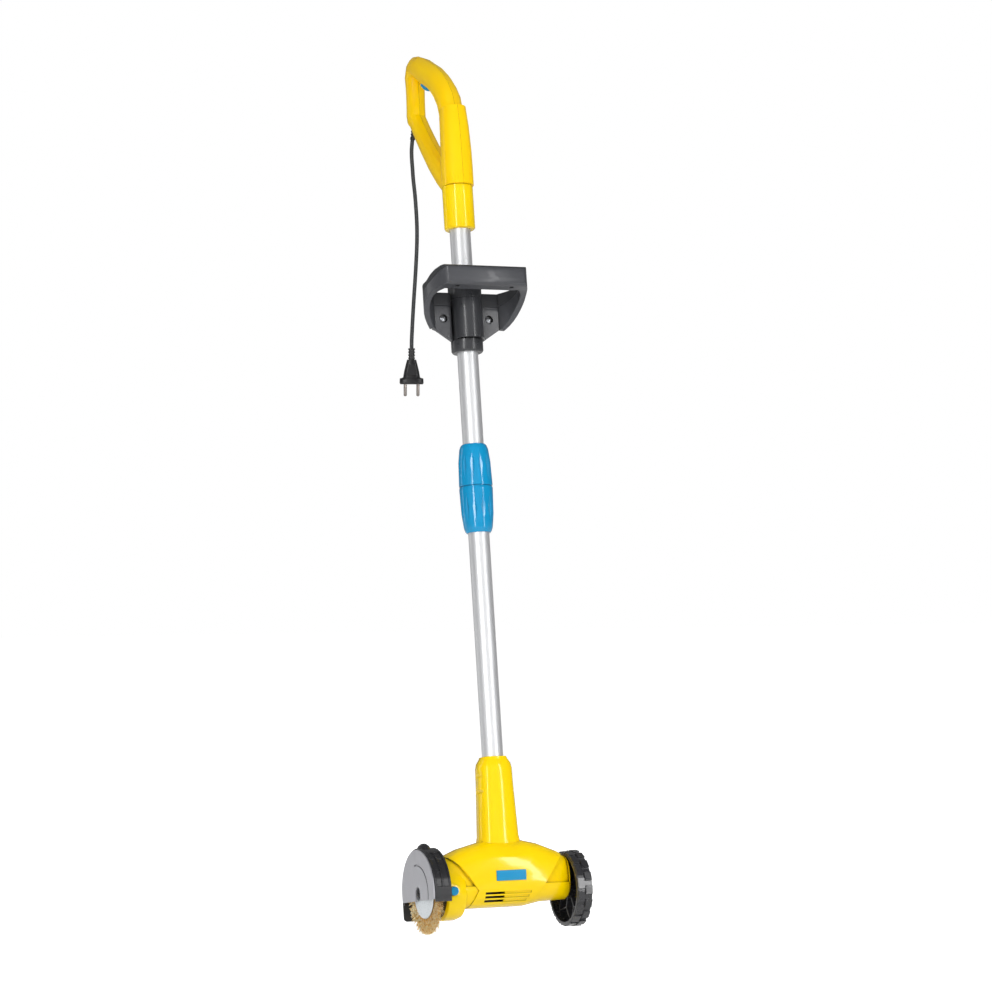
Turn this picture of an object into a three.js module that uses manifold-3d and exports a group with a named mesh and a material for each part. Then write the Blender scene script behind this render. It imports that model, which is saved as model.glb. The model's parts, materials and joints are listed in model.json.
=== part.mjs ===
// Electric joint brush on a two-piece tube: wire brush head, support wheel, clamped second handle and
// a D-shaped main handle. Millimetres. The tool is drawn upright in its own tube frame, with the
// spindle axis at height zero, x along the spindle, y towards the user, z up the tube. The whole is
// then leaned back and set with its origin in the middle of the main grip, where it is held.
import * as THREE from 'three';
import { mergeVertices } from 'three/addons/utils/BufferGeometryUtils.js';
import Module from 'manifold-3d';

const wasm = await Module();
wasm.setup();

// Whole tool
const leanDegrees = 9.15;
const clearance = 0.3;
const overrun = 3;
const mergeTolerance = 0.06;
const roundFacets = 20;
const smallFacets = 8;

// Tubes
const tubeDiameter = 30;
const tubeWall = 1.5;
const lowerTubeBottom = 118;
const lowerTubeTop = 562;
const innerTubeBottom = 440;
const innerTubeTop = 790;
const upperTubeBottom = 584;
const upperTubeTop = 1052;

// Twist sleeves
const sleeveDiameter = 48;
const sleeveSpigot = 1.3;
const lowerSleeveBottom = 501;
const sleeveSplit = 567;
const upperSleeveTop = 628;
const sleeveGap = 1.6;
const fluteCount = 12;
const fluteDepth = 2.2;
const fluteWidth = 7;
const fluteLength = 48;
const fluteTiltDegrees = 2.6;
const colletWall = 3;

// Main handle
const collarDiameter = 44.4;
const collarBottom = 941;
const collarTop = 1004.7;
const handleBodyTop = 1121;
const handleWidthTop = 37;
const gripWidth = 35;
const gripThickness = 35;
const strutWidth = 27;
const strutDepth = 29;
const diagonalDepth = 25;
const gripCentreY = 96;
const gripCentreZ = 1207;
const strutY = 139;
const elbowZ = 1149;
const diagonalFootY = 14;
const diagonalFootZ = 1004;
const handleScrewDiameter = 4;
const handleScrewHead = 7;
const handleScrewLength = 18;

// Trigger and switch
const triggerWidth = 13;
const triggerLength = 52;
const triggerDepth = 16;
const triggerPocketWidth = 15;
const triggerPinDiameter = 4;
const switchLength = 30;
const switchHeight = 8;
const triggerTravel = 6;
const switchWidth = 12;

// Cord and plug
const cordDiameter = 5.8;
const reliefLength = 22;
const reliefDiameter = 10;
const reliefTipDiameter = 8;
const reliefRoot = 9;
const reliefTiltDegrees = 21;
const cordExitY = 149;
const cordExitZ = 1140;
const plugWidth = 36;
const plugThickness = 15;
const plugHeight = 36.5;
const plugRimHeight = 8.5;
const plugBootLength = 18;
const plugBootDiameter = 10.4;
const plugTurnDegrees = -18;
const plugPinDepth = 6;
const plugPinDiameter = 4.8;
const plugPinSpacing = 19;
const plugPinLength = 18;

// Second handle and its clamp
const auxBarZ = 855;
const auxBarHeight = 29;
const auxBarDepth = 22;
const auxReach = 88;
const auxWidth = 151;
const auxBackWidth = 116;
const auxNotchWidth = 103;
const auxBand = 16;
const auxBackBottom = 794;
const auxBackTop = 848;
const auxSeamZ = 827;
const auxFlangeThickness = 7;
const auxFlangeFront = -4;
const clampDiameter = 43;
const clampRingDiameter = 46;
const clampForward = 9;
const clampBottom = 761;
const clampRingTop = 779;
const clampFrontTop = 837;
const clampTop = 866;
const clampEarWidth = 26;
const clampEarThickness = 3;
const auxBoltSpacing = 70;
const auxBoltZ = 810;
const auxBoltDiameter = 5;
const auxBoltHead = 9;
const auxBoltRecess = 11.5;
const auxScrewSpacing = 82;
const auxScrewDiameter = 3;

// Head housing
const barrelLeft = -95;
const barrelRight = 92;
const housingWall = 2.6;
const neckTop = 184.5;
const neckWidth = 48;
const neckDepth = 44;
const neckBaseWidth = 55;
const neckMouth = 34;
const neckGrooveDepth = 1.4;
const panelThickness = 2;
const ventCount = 3;
const ventTopZ = -5.4;
const ventPitch = 5.2;
const ventHeight = 3;
const ventLeft = -38;
const ventOpenRight = -9;
const ventRight = 31;
const endCapThickness = 2.4;
const housingScrewDiameter = 4;
const housingScrewHead = 7;
const plateWidth = 44;
const plateHeight = 14;
const plateThickness = 0.8;
const plateZ = 18;

// Motor, gears and spindle
const gearModule = 1.2;
const gearTeeth = 38;
const pinionTeeth = 10;
const gearFace = 7;
const pressureDegrees = 20;
const toothAddendumShare = 0.8;
const toothDedendumShare = 1.1;
const backlash = 0.3;
const gearLeft = -86.2;
const motorShaftDiameter = 6;
const statorDiameter = 54;
const statorBore = 36;
const statorLength = 42;
const statorLeft = -58;
const armatureDiameter = 33;
const fanDiameter = 52;
const fanLeft = -2;
const fanLength = 12;
const fanBlades = 9;
const bearingDiameter = 19;
const bearingWidth = 6;
const spindleDiameter = 10;
const spindleBearingDiameter = 26;
const spindleBearingWidth = 8;
const lobeRadius = 39;
const lobeRight = -66;

// Brush
const brushDiameter = 114;
const brushHubDiameter = 70;
const brushCentreX = -110;
const brushWidth = 12;
const hubSheet = 1.6;
const hubDish = 4;
const bristleRowCount = 5;
const bristlesPerRow = 60;
const bristleSlices = 2;
const bristleRootDiameter = 60;
const bristleThickness = 1.1;
const bristleBackingInner = 36;
const brushBoltHead = 13;
const brushBoltSocket = 5;
const brushBoltDiameter = 6;

// Guard
const guardBrushGap = 3;
const guardPlateRadius = brushDiameter / 2 + guardBrushGap;
const guardPlateLeft = -124;
const guardPlateThickness = 2;
const guardCutZ = -10;
const guardNotchWidth = 17;
const guardNotchTop = 9;
const guardStepRadius = 40;
const guardStepWidth = 2.4;
const guardStepDepth = 1.2;
const guardWall = 2.4;
const guardRim = 2;
const guardOuterRadius = guardPlateRadius + guardRim;
const guardRight = -98.3;
const guardLowZ = -13.5;
const guardLipWidth = 2.5;
const guardLipOverlap = 1.8;
const guardBumpHeight = 6.6;
const guardBumpWidth = 34;
const guardBumpLength = 19;
const guardRibHeight = 1.6;
const flapThickness = 2.4;
const flapHeight = 45;
const flapTopZ = 9;

// Wheel
const wheelDiameter = 106;
const wheelLeft = 94;
const wheelRight = 117;
const wheelAxisZ = -3;
const wheelRim = 4;
const wheelWeb = 3;
const wheelHubDiameter = 26;
const wheelAxleDiameter = 10;
const wheelRibCount = 7;
const treadCount = 17;
const treadHeight = 2.4;
const axleHeadDiameter = 16;

// Spindle lock button
const buttonDiameter = 12.4;
const buttonX = -86.8;
const buttonStand = 6;
const buttonTravel = 3;

// Colours and finishes, linear in roughness and metalness
function finish(colour, roughness, metalness) {
  return new THREE.MeshStandardMaterial({ color: colour, roughness, metalness });
}
const yellowPlastic = () => finish(0xffd000, 0.3, 0);
const bluePlastic = () => finish(0x0a96d2, 0.25, 0);
const blackPlastic = () => finish(0x2b2c2f, 0.5, 0);
const blackRubber = () => finish(0x1b1b1d, 0.75, 0);
const aluminium = () => finish(0xc9ccd0, 0.3, 1);
const steel = () => finish(0xb4b6ba, 0.3, 1);
const brass = () => finish(0xc9a15a, 0.4, 1);
const copper = () => finish(0xb87333, 0.4, 1);

// Solids and geometries
function solid(geometry) {
  const bare = geometry.clone();
  bare.deleteAttribute('normal');
  bare.deleteAttribute('uv');
  const merged = mergeVertices(bare, 1e-4);
  const kept = [];
  const index = merged.index.array;
  for (let i = 0; i < index.length; i += 3) {
    const [a, b, c] = [index[i], index[i + 1], index[i + 2]];
    if (a !== b && b !== c && a !== c) kept.push(a, b, c);
  }
  const shape = new wasm.Manifold(new wasm.Mesh({
    numProp: 3,
    vertProperties: new Float32Array(merged.attributes.position.array),
    triVerts: new Uint32Array(kept),
  }));
  return shape;
}

function geometryOf(shape) {
  const mesh = shape.simplify(mergeTolerance).getMesh();
  const geometry = new THREE.BufferGeometry();
  geometry.setAttribute('position', new THREE.BufferAttribute(new Float32Array(mesh.vertProperties), 3));
  geometry.setIndex(new THREE.BufferAttribute(new Uint32Array(mesh.triVerts), 1));
  return geometry;
}

function join(...shapes) {
  return shapes.reduce((whole, shape) => whole.add(shape));
}

function cut(shape, ...tools) {
  return tools.reduce((rest, tool) => rest.subtract(tool), shape);
}

// A closed loft through rings of points that all have the same number of corners
function loftRings(rings) {
  const corners = rings[0].length;
  const positions = [];
  for (const ring of rings) {
    for (const p of ring) positions.push(p.x, p.y, p.z);
  }
  const faces = [];
  for (let r = 0; r + 1 < rings.length; r++) {
    for (let i = 0; i < corners; i++) {
      const a = r * corners + i;
      const b = r * corners + (i + 1) % corners;
      faces.push(a, b, a + corners, b, b + corners, a + corners);
    }
  }
  const last = (rings.length - 1) * corners;
  for (let i = 1; i + 1 < corners; i++) {
    faces.push(0, i + 1, i, last, last + i, last + i + 1);
  }
  let volume = 0;
  const at = (i) => new THREE.Vector3(positions[3 * i], positions[3 * i + 1], positions[3 * i + 2]);
  for (let i = 0; i < faces.length; i += 3) {
    volume += at(faces[i]).dot(at(faces[i + 1]).cross(at(faces[i + 2])));
  }
  if (volume < 0) faces.reverse();
  const geometry = new THREE.BufferGeometry();
  geometry.setAttribute('position', new THREE.Float32BufferAttribute(positions, 3));
  geometry.setIndex(faces);
  return geometry;
}

// A rounded section: half sizes along its two directions, squareness 2 is an ellipse
function roundedSection(halfWide, halfTall, squareness, corners) {
  const points = [];
  for (let i = 0; i < corners; i++) {
    const angle = (2 * Math.PI * i) / corners;
    const [c, s] = [Math.cos(angle), Math.sin(angle)];
    points.push([
      halfWide * Math.sign(c) * Math.abs(c) ** (2 / squareness),
      halfTall * Math.sign(s) * Math.abs(s) ** (2 / squareness),
    ]);
  }
  return points;
}

// A bar whose middle line runs through stations [y, z, width, depth] in the plane x = 0
function barThrough(stations, steps, squareness, corners) {
  const line = new THREE.CatmullRomCurve3(
    stations.map(([y, z]) => new THREE.Vector3(0, y, z)), false, 'centripetal');
  const sizes = new THREE.CatmullRomCurve3(
    stations.map(([, , width, depth]) => new THREE.Vector3(width, depth, 0)), false, 'centripetal');
  const rings = [];
  for (let i = 0; i <= steps; i++) {
    const centre = line.getPoint(i / steps);
    const tangent = line.getTangent(i / steps);
    const size = sizes.getPoint(i / steps);
    const section = roundedSection(size.x / 2, size.y / 2, squareness, corners);
    rings.push(section.map(([u, v]) => new THREE.Vector3(
      u, centre.y - v * tangent.z, centre.z + v * tangent.y)));
  }
  return solid(loftRings(rings));
}

// Prisms whose outline lies in one plane and which run along the third axis
function outline(points) {
  return new THREE.Shape(points.map(([u, v]) => new THREE.Vector2(u, v)));
}

function prismX(shape, from, to, curveSegments = 8) {
  const geometry = new THREE.ExtrudeGeometry(shape, { depth: to - from, bevelEnabled: false, curveSegments });
  const turn = new THREE.Matrix4().makeBasis(
    new THREE.Vector3(0, 1, 0), new THREE.Vector3(0, 0, 1), new THREE.Vector3(1, 0, 0));
  return solid(geometry.applyMatrix4(turn).translate(from, 0, 0));
}

function prismY(shape, from, to, curveSegments = 8) {
  const geometry = new THREE.ExtrudeGeometry(shape, { depth: to - from, bevelEnabled: false, curveSegments });
  return solid(geometry.rotateX(Math.PI / 2).translate(0, to, 0));
}

function prismZ(shape, from, to, curveSegments = 8) {
  const geometry = new THREE.ExtrudeGeometry(shape, { depth: to - from, bevelEnabled: false, curveSegments });
  return solid(geometry.translate(0, 0, from));
}

function block(x0, x1, y0, y1, z0, z1) {
  const geometry = new THREE.BoxGeometry(x1 - x0, y1 - y0, z1 - z0);
  return solid(geometry.translate((x0 + x1) / 2, (y0 + y1) / 2, (z0 + z1) / 2));
}

// Round solids about an axis, from a profile of [radius, height] that may run either way round
function latheGeometry(profile, facets) {
  let area = 0;
  profile.forEach(([r, h], i) => {
    const [nextR, nextH] = profile[(i + 1) % profile.length];
    area += r * nextH - nextR * h;
  });
  const points = (area > 0 ? profile : profile.slice().reverse()).map(([r, h]) => new THREE.Vector2(r, h));
  return new THREE.LatheGeometry(points, facets);
}

function roundZ(profile, facets = roundFacets) {
  return solid(latheGeometry(profile, facets).rotateX(Math.PI / 2));
}

function roundX(profile, facets = roundFacets) {
  return solid(latheGeometry(profile, facets).rotateZ(-Math.PI / 2));
}

function roundY(profile, facets = roundFacets) {
  return solid(latheGeometry(profile, facets));
}

function pin(radius, from, to) {
  return [[0, from], [radius, from], [radius, to], [0, to]];
}

function ring(outer, inner, from, to) {
  return [[inner, from], [outer, from], [outer, to], [inner, to], [inner, from]];
}

// The assembly: a leaned group for the tool, an upright one for what hangs from it
const tool = new THREE.Group();
const hanging = new THREE.Group();
const model = new THREE.Group();

function place(name, shape, material, parent = tool) {
  const mesh = new THREE.Mesh(geometryOf(shape), material);
  mesh.name = name;
  parent.add(mesh);
  return mesh;
}

// Main handle: body, curved grip, back strut and diagonal strut, as two moulded halves
const bodyStations = [
  [-2, collarTop + clearance, collarDiameter, collarDiameter + 3],
  [-3, 1040, collarDiameter, 43],
  [-3, 1080, 42, 42],
  [1, handleBodyTop, handleWidthTop, 41],
];
const gripStations = [
  [2, 1085, gripWidth - 1, gripThickness - 3],
  [8, 1128, gripWidth, gripThickness],
  [27, 1157, gripWidth, gripThickness],
  [56, 1183, gripWidth, gripThickness],
  [gripCentreY, gripCentreZ, gripWidth, gripThickness - 1],
  [119, 1221, gripWidth - 2, gripThickness - 3],
  [135, 1214, gripWidth - 5, strutDepth],
  [strutY - 2, 1192, strutWidth + 1, strutDepth - 2],
  [strutY, 1166, strutWidth, strutDepth],
  [strutY + 1, elbowZ, strutWidth, strutDepth + 3],
  [strutY - 2, elbowZ - 9, strutWidth - 1, diagonalDepth],
];
const diagonalStations = [
  [strutY - 2, elbowZ - 4, strutWidth - 1, diagonalDepth],
  [118, 1119, strutWidth, diagonalDepth],
  [80, 1072, strutWidth + 1, diagonalDepth + 4],
  [46, 1036, strutWidth + 2, diagonalDepth + 8],
  [diagonalFootY, diagonalFootZ + 4, strutWidth + 3, diagonalDepth + 6],
];

function handleSolid() {
  const body = barThrough(bodyStations, 4, 2.4, 20);
  const grip = barThrough(gripStations, 16, 2.2, 12);
  const diagonal = barThrough(diagonalStations, 5, 2.4, 12);
  const foot = roundZ(pin(collarDiameter / 2, collarTop + clearance, collarTop + collarDiameter));
  const flat = block(-collarDiameter, collarDiameter, -collarDiameter, 4 * collarDiameter,
    collarTop + clearance, handleBodyTop + 4 * collarDiameter);
  const collarRoom = roundZ(pin(collarDiameter / 2 + clearance, collarBottom, collarTop + clearance));
  const whole = join(join(body, grip, foot).intersect(flat), cut(diagonal, collarRoom));
  const socket = roundZ(pin(tubeDiameter / 2 + clearance, collarBottom, upperTubeTop + clearance));
  const reliefRoom = roundZ(pin(reliefDiameter / 2 + clearance, -reliefLength, reliefRoot + clearance), smallFacets)
    .rotate([leanDegrees + reliefTiltDegrees, 0, 0]).translate([0, cordExitY, cordExitZ]);
  return cut(whole, socket, reliefRoom);
}

// The trigger lies along the underside of the grip and turns on a pin at its front end
const triggerFront = [58, 1171];
const triggerRear = [100, 1196];
const triggerAngle = Math.atan2(triggerRear[1] - triggerFront[1], triggerRear[0] - triggerFront[0]);

function alongGrip(shape) {
  return shape.rotate([triggerAngle * 180 / Math.PI, 0, 0]).translate([0, ...triggerFront]);
}

function triggerOutline(grow) {
  const shape = new THREE.Shape();
  const half = triggerDepth / 2;
  shape.moveTo(-half - grow, half + grow);
  shape.lineTo(triggerLength - half + grow, half + grow);
  shape.lineTo(triggerLength - half + grow, -half);
  shape.quadraticCurveTo(triggerLength / 2, -triggerDepth * 0.85 - grow, 0, -half + 2 - grow);
  shape.absarc(0, 0, half + grow, -Math.PI / 2, -Math.PI, true);
  shape.closePath();
  return shape;
}

function triggerPocket() {
  const half = triggerPocketWidth / 2;
  const swing = block(-half, half, -triggerDepth / 2 - clearance * 3, triggerLength - triggerDepth / 2 + 1,
    -triggerDepth - overrun, triggerDepth / 2 + triggerTravel);
  return alongGrip(swing);
}

const switchSeat = [triggerLength / 2, triggerDepth / 2 + triggerTravel + switchHeight / 2 + clearance];

function switchPocket(grow) {
  const [y, z] = switchSeat;
  return alongGrip(block(-switchWidth / 2 - grow, switchWidth / 2 + grow,
    y - switchLength / 2 - grow, y + switchLength / 2 + grow,
    z - switchHeight / 2 - grow, z + switchHeight / 2 + grow));
}

// Screws through the halves: [y, z, side they enter from]
const handleScrews = [
  [strutY, elbowZ + 21, 1],
  [6, handleBodyTop - 30, 1],
  [44, diagonalFootZ + 24, 1],
];

function screwAlongX(headDiameter, shankDiameter, length, side, faceX) {
  const head = 2.4;
  const shank = roundX(pin(shankDiameter / 2, -length + head, 0), smallFacets);
  const top = roundX([[0, -0.01], [headDiameter / 2, -0.01], [headDiameter / 2, head * 0.6], [headDiameter / 3, head],
    [0, head]], smallFacets);
  const slot = roundX(pin(headDiameter / 5, head / 2, head + overrun), 6);
  const screw = cut(join(shank, top), slot);
  return (side > 0 ? screw : screw.rotate([0, 180, 0])).translate([faceX, 0, 0]);
}

function buildHandle() {
  let whole = cut(handleSolid(), triggerPocket(), switchPocket(clearance));
  const ledge = gripWidth / 2 - 7;
  for (const [y, z, side] of handleScrews) {
    const recess = roundX(pin(handleScrewHead / 2 + clearance, Math.min(side * ledge, side * gripWidth),
      Math.max(side * ledge, side * gripWidth)), smallFacets).translate([0, y, z]);
    const bore = roundX(pin(handleScrewDiameter / 2 + clearance,
      Math.min(side * ledge, side * (ledge - handleScrewLength)) - clearance,
      Math.max(side * ledge, side * (ledge - handleScrewLength)) + clearance), smallFacets).translate([0, y, z]);
    whole = cut(whole, recess, bore);
  }
  const pinBore = roundX(pin(triggerPinDiameter / 2 + clearance, -11, 11), smallFacets)
    .translate([0, ...triggerFront]);
  whole = cut(whole, pinBore);
  const wide = 2 * gripWidth;
  const side = (x0, x1) => block(x0, x1, -wide, 6 * wide, collarBottom, collarBottom + 6 * wide);
  place('handle_half_left', whole.intersect(side(-wide, -clearance / 2)), yellowPlastic());
  place('handle_half_right', whole.intersect(side(clearance / 2, wide)), yellowPlastic());
  handleScrews.forEach(([y, z, way], i) => {
    place(`handle_screw_${i + 1}`,
      screwAlongX(handleScrewHead, handleScrewDiameter, handleScrewLength, way, way * (ledge + clearance))
        .translate([0, y, z]), steel());
  });
  const lip = 3;
  const collar = roundZ([
    [tubeDiameter / 2 + clearance, collarBottom],
    [collarDiameter / 2 - lip, collarBottom],
    [collarDiameter / 2 - lip / 3, collarBottom + lip / 3],
    [collarDiameter / 2, collarBottom + lip],
    [collarDiameter / 2, collarTop],
    [tubeDiameter / 2 + clearance, collarTop],
    [tubeDiameter / 2 + clearance, collarBottom],
  ]);
  place('handle_collar', collar, yellowPlastic());
  place('upper_tube', roundZ(ring(tubeDiameter / 2, tubeDiameter / 2 - tubeWall, upperTubeBottom, upperTubeTop)),
    aluminium());
}

function buildTrigger() {
  const half = triggerWidth / 2;
  const bar = prismX(triggerOutline(0), -half, half, 6);
  const bore = roundX(pin(triggerPinDiameter / 2 + clearance, -overrun * 4, overrun * 4), smallFacets);
  place('trigger', alongGrip(cut(bar, bore)), bluePlastic());
  place('trigger_pin', roundX(pin(triggerPinDiameter / 2, -10.5, 10.5), smallFacets)
    .translate([0, ...triggerFront]), steel());
  place('switch_unit', switchPocket(0), blackPlastic());
}

// Second handle: a bow in front of the tube, split by a rising seam, clamped by two half shells
// The bow seen from above: outer and inner edge of its right arm, in shares of half its width and of its reach
const bowEdgeShares = [
  [0.77, 0.045], [0.94, 0.216], [1, 0.41], [0.967, 0.614], [0.894, 0.818], [0.81, 0.955], [0.72, 1],
];
const bowHoleShares = [[0.66, 0.06], [0.82, 0.216], [0.88, 0.41], [0.85, 0.6], [0.74, 0.75]];
// Its lower edge seen from the side, in shares of its reach and of the rise from the back wall to the bar
const bowUnderShares = [[0.08, 0], [0.28, 0.48], [0.47, 0.77], [0.68, 0.93], [0.88, 1]];

function clampSection(low, high) {
  const radius = clampDiameter / 2;
  const shape = new THREE.Shape();
  shape.moveTo(radius, clampRingDiameter / 2);
  shape.lineTo(radius, -clampForward);
  shape.absarc(0, -clampForward, radius, 0, -Math.PI, true);
  shape.lineTo(-radius, clampRingDiameter / 2);
  shape.closePath();
  return prismZ(shape, low, high, 12);
}

function bowSolid() {
  const half = auxWidth / 2;
  const wallBack = auxFlangeFront + auxFlangeThickness;
  const top = auxBarZ + auxBarHeight / 2;
  const bottom = auxBarZ - auxBarHeight / 2;

  const edge = bowEdgeShares.map(([x, y]) => new THREE.Vector2(x * half, -y * auxReach));
  const outer = new THREE.Shape();
  outer.moveTo(-auxNotchWidth / 2, wallBack);
  outer.splineThru(edge.map(({ x, y }) => new THREE.Vector2(-x, y)));
  outer.lineTo(edge[edge.length - 1].x, -auxReach);
  outer.splineThru([...edge].reverse().slice(1));
  outer.lineTo(auxNotchWidth / 2, wallBack);
  outer.closePath();
  const innerEdge = bowHoleShares.map(([x, y]) => new THREE.Vector2(x * half, -y * auxReach));
  const front = -auxReach + auxBarDepth;
  const hole = new THREE.Path();
  hole.moveTo(-innerEdge[0].x, auxFlangeFront);
  hole.splineThru(innerEdge.map(({ x, y }) => new THREE.Vector2(-x, y)));
  hole.lineTo(-innerEdge[0].x, front);
  hole.lineTo(innerEdge[0].x, front);
  hole.splineThru([...innerEdge].reverse());
  hole.lineTo(innerEdge[0].x, auxFlangeFront);
  hole.closePath();
  outer.holes.push(hole);
  const plan = prismZ(outer, clampBottom - overrun, top + overrun, 3);

  const under = bowUnderShares.map(([y, z]) => new THREE.Vector2(
    -y * auxReach, auxBackBottom + z * (bottom - auxBackBottom)));
  const side = new THREE.Shape();
  side.moveTo(wallBack + overrun, clampRingTop - overrun);
  side.lineTo(auxFlangeFront - 2, clampRingTop - overrun);
  side.lineTo(under[0].x, under[0].y);
  side.splineThru(under.slice(1));
  side.quadraticCurveTo(-auxReach, bottom, -auxReach, bottom + auxBarHeight * 0.4);
  side.lineTo(-auxReach, top - auxBarHeight * 0.3);
  side.quadraticCurveTo(-auxReach, top, -auxReach + auxBarDepth * 0.4, top);
  side.quadraticCurveTo(-auxReach + auxBarDepth, top, -auxReach / 2, auxBackTop + 6);
  side.lineTo(wallBack + overrun, auxBackTop - 2);
  side.closePath();
  const profile = prismX(side, -auxWidth, auxWidth, 5);

  const face = new THREE.Shape();
  const [footX, footZ] = [clampDiameter / 2, clampRingTop - 3];
  const rightSide = [
    [auxNotchWidth / 2, auxBackBottom + 2], [auxBackWidth / 2 - 1, auxBackBottom],
  ];
  face.moveTo(-footX, footZ);
  face.lineTo(footX, footZ);
  rightSide.forEach(([x, z]) => face.lineTo(x, z));
  face.quadraticCurveTo(half + 1, (auxBackBottom + auxSeamZ) / 2, half + 1, auxSeamZ + 8);
  face.quadraticCurveTo(half + 1, top, half * 0.8, top);
  face.lineTo(-half * 0.8, top);
  face.quadraticCurveTo(-half - 1, top, -half - 1, auxSeamZ + 8);
  face.quadraticCurveTo(-half - 1, (auxBackBottom + auxSeamZ) / 2, -auxBackWidth / 2 + 1, auxBackBottom);
  face.lineTo(-auxNotchWidth / 2, auxBackBottom + 2);
  face.closePath();
  const faceOn = prismY(face, -auxReach - overrun, wallBack + overrun, 6);
  return plan.intersect(profile).intersect(faceOn);
}

function bothSides(make) {
  return [-1, 1].map((side) => make(side));
}

function buildSecondHandle() {
  const slotHalf = clampRingDiameter / 2 + clearance;
  const channel = block(-slotHalf, slotHalf, -clampDiameter, clampDiameter, clampBottom - overrun,
    auxBarZ - auxBarHeight / 2 - clearance).add(block(-slotHalf, slotHalf, auxFlangeFront * 3, clampDiameter,
    clampBottom, clampTop + overrun));
  const bolts = bothSides((side) => side * auxBoltSpacing / 2);
  const wallBack = auxFlangeFront + auxFlangeThickness;
  const boltHoles = bolts.map((x) => roundY(pin(auxBoltDiameter / 2 + clearance, -auxReach, clampDiameter),
    smallFacets).translate([x, 0, auxBoltZ]));
  const recesses = bolts.map((x) => roundY(pin(auxBoltRecess / 2, auxFlangeFront - overrun,
    auxFlangeFront + auxFlangeThickness / 2), roundFacets).translate([x, 0, auxBoltZ]));
  const screwDrop = auxBarZ - auxBarHeight / 2;
  const screws = bothSides((side) => side * auxScrewSpacing / 2);
  const barY = -auxReach + auxBarDepth / 2 + 1;
  const screwTop = auxBarZ + 10;
  const screwHoles = screws.map((x) => roundZ(pin(auxScrewDiameter / 2 + clearance, screwDrop - overrun,
    screwTop + clearance), smallFacets).translate([x, barY, 0]));
  const headHoles = screws.map((x) => roundZ(pin(auxScrewDiameter + clearance, screwDrop - overrun,
    screwDrop + 8), smallFacets).translate([x, barY, 0]));
  const bow = cut(bowSolid(), channel, ...boltHoles, ...recesses, ...screwHoles, ...headHoles);

  const rise = (auxBarZ + auxBarHeight * 0.42 - auxSeamZ) / auxReach;
  const wide = auxWidth;
  const under = new THREE.Shape();
  under.moveTo(wide, clampBottom - wide);
  under.lineTo(wide, auxSeamZ - rise * wide);
  under.lineTo(-wide, auxSeamZ + rise * wide);
  under.lineTo(-wide, clampBottom - wide);
  under.closePath();
  const below = prismX(under, -wide, wide);
  place('aux_grip_lower', bow.intersect(below), blackPlastic());
  place('aux_grip_upper', cut(bow, below.translate([0, 0, clearance])), blackPlastic());

  const bore = tubeDiameter / 2 + clearance;
  const split = wallBack + clearance + clampEarThickness;
  const earOutline = (x0, x1) => {
    const ear = new THREE.Shape();
    ear.moveTo(x0, clampRingTop + 6);
    ear.lineTo(x1, auxBackBottom + 3);
    ear.lineTo(x1, auxSeamZ - 2);
    ear.lineTo(x0, auxSeamZ + 4);
    ear.closePath();
    return ear;
  };
  const ears = (y0, y1) => bothSides((side) => prismY(
    earOutline(side * (clampDiameter / 2 - 3), side * (clampDiameter / 2 + clampEarWidth)), y0, y1));
  const tubeRoom = roundZ(pin(bore, clampBottom - overrun, clampTop + overrun));
  const shellRoom = join(tubeRoom, block(-bore, bore, 0, clampRingDiameter, clampBottom, clampTop));
  const inFront = block(-wide, wide, -wide, split, clampBottom - overrun, clampTop + overrun);
  const shell = clampSection(clampRingTop + clearance, clampFrontTop).intersect(inFront);
  place('aux_clamp_front', cut(join(shell, ...ears(wallBack + clearance, split)), shellRoom, ...boltHoles),
    blackPlastic());

  const round = roundZ([
    [bore, clampBottom],
    [clampRingDiameter / 2 - 2, clampBottom],
    [clampRingDiameter / 2, clampBottom + 3],
    [clampRingDiameter / 2, clampTop - 2],
    [clampRingDiameter / 2 - 2, clampTop],
    [bore, clampTop],
    [bore, clampBottom],
  ], 24);
  const behind = block(-wide, wide, split + clearance, wide, clampBottom - overrun, clampTop + overrun);
  const lowerRing = block(-wide, wide, -wide, wide, clampBottom - overrun, clampRingTop);
  const upperRing = clampSection(clampFrontTop + clearance, clampTop)
    .intersect(block(-wide, wide, -wide, split + clearance + 1, clampBottom, clampTop));
  const rear = join(round.intersect(behind), round.intersect(lowerRing), upperRing,
    ...ears(split + clearance, split + clearance + clampEarThickness * 2));
  place('aux_clamp_rear', cut(rear, tubeRoom, ...boltHoles), blackPlastic());

  const nutFace = split + clearance + clampEarThickness * 2 + clearance;
  const headFace = auxFlangeFront + auxFlangeThickness / 2 - clearance;
  bolts.forEach((x, i) => {
    const name = i === 0 ? 'left' : 'right';
    const dome = roundY([[0, headFace - auxBoltHead / 3], [auxBoltHead / 4, headFace - auxBoltHead / 3.6],
      [auxBoltHead / 2, headFace - 1], [auxBoltHead / 2, headFace], [0, headFace]], smallFacets);
    const shank = roundY(pin(auxBoltDiameter / 2, headFace - 1, nutFace + auxBoltDiameter), smallFacets);
    place(`aux_bolt_${name}`, join(dome, shank).translate([x, 0, auxBoltZ]), steel());
    place(`aux_nut_${name}`, roundY(ring(auxBoltDiameter, auxBoltDiameter / 2 + 2 * clearance, nutFace,
      nutFace + auxBoltDiameter - 1), 6).translate([x, 0, auxBoltZ]), steel());
  });
  screws.forEach((x, i) => {
    const headZ = screwDrop + 8 - clearance;
    const screw = join(
      roundZ(pin(auxScrewDiameter / 2, headZ - 1, screwTop), smallFacets),
      roundZ(pin(auxScrewDiameter, headZ - 2, headZ), smallFacets));
    place(`aux_screw_${i === 0 ? 'left' : 'right'}`, screw.translate([x, barY, 0]), steel());
  });
}

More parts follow.
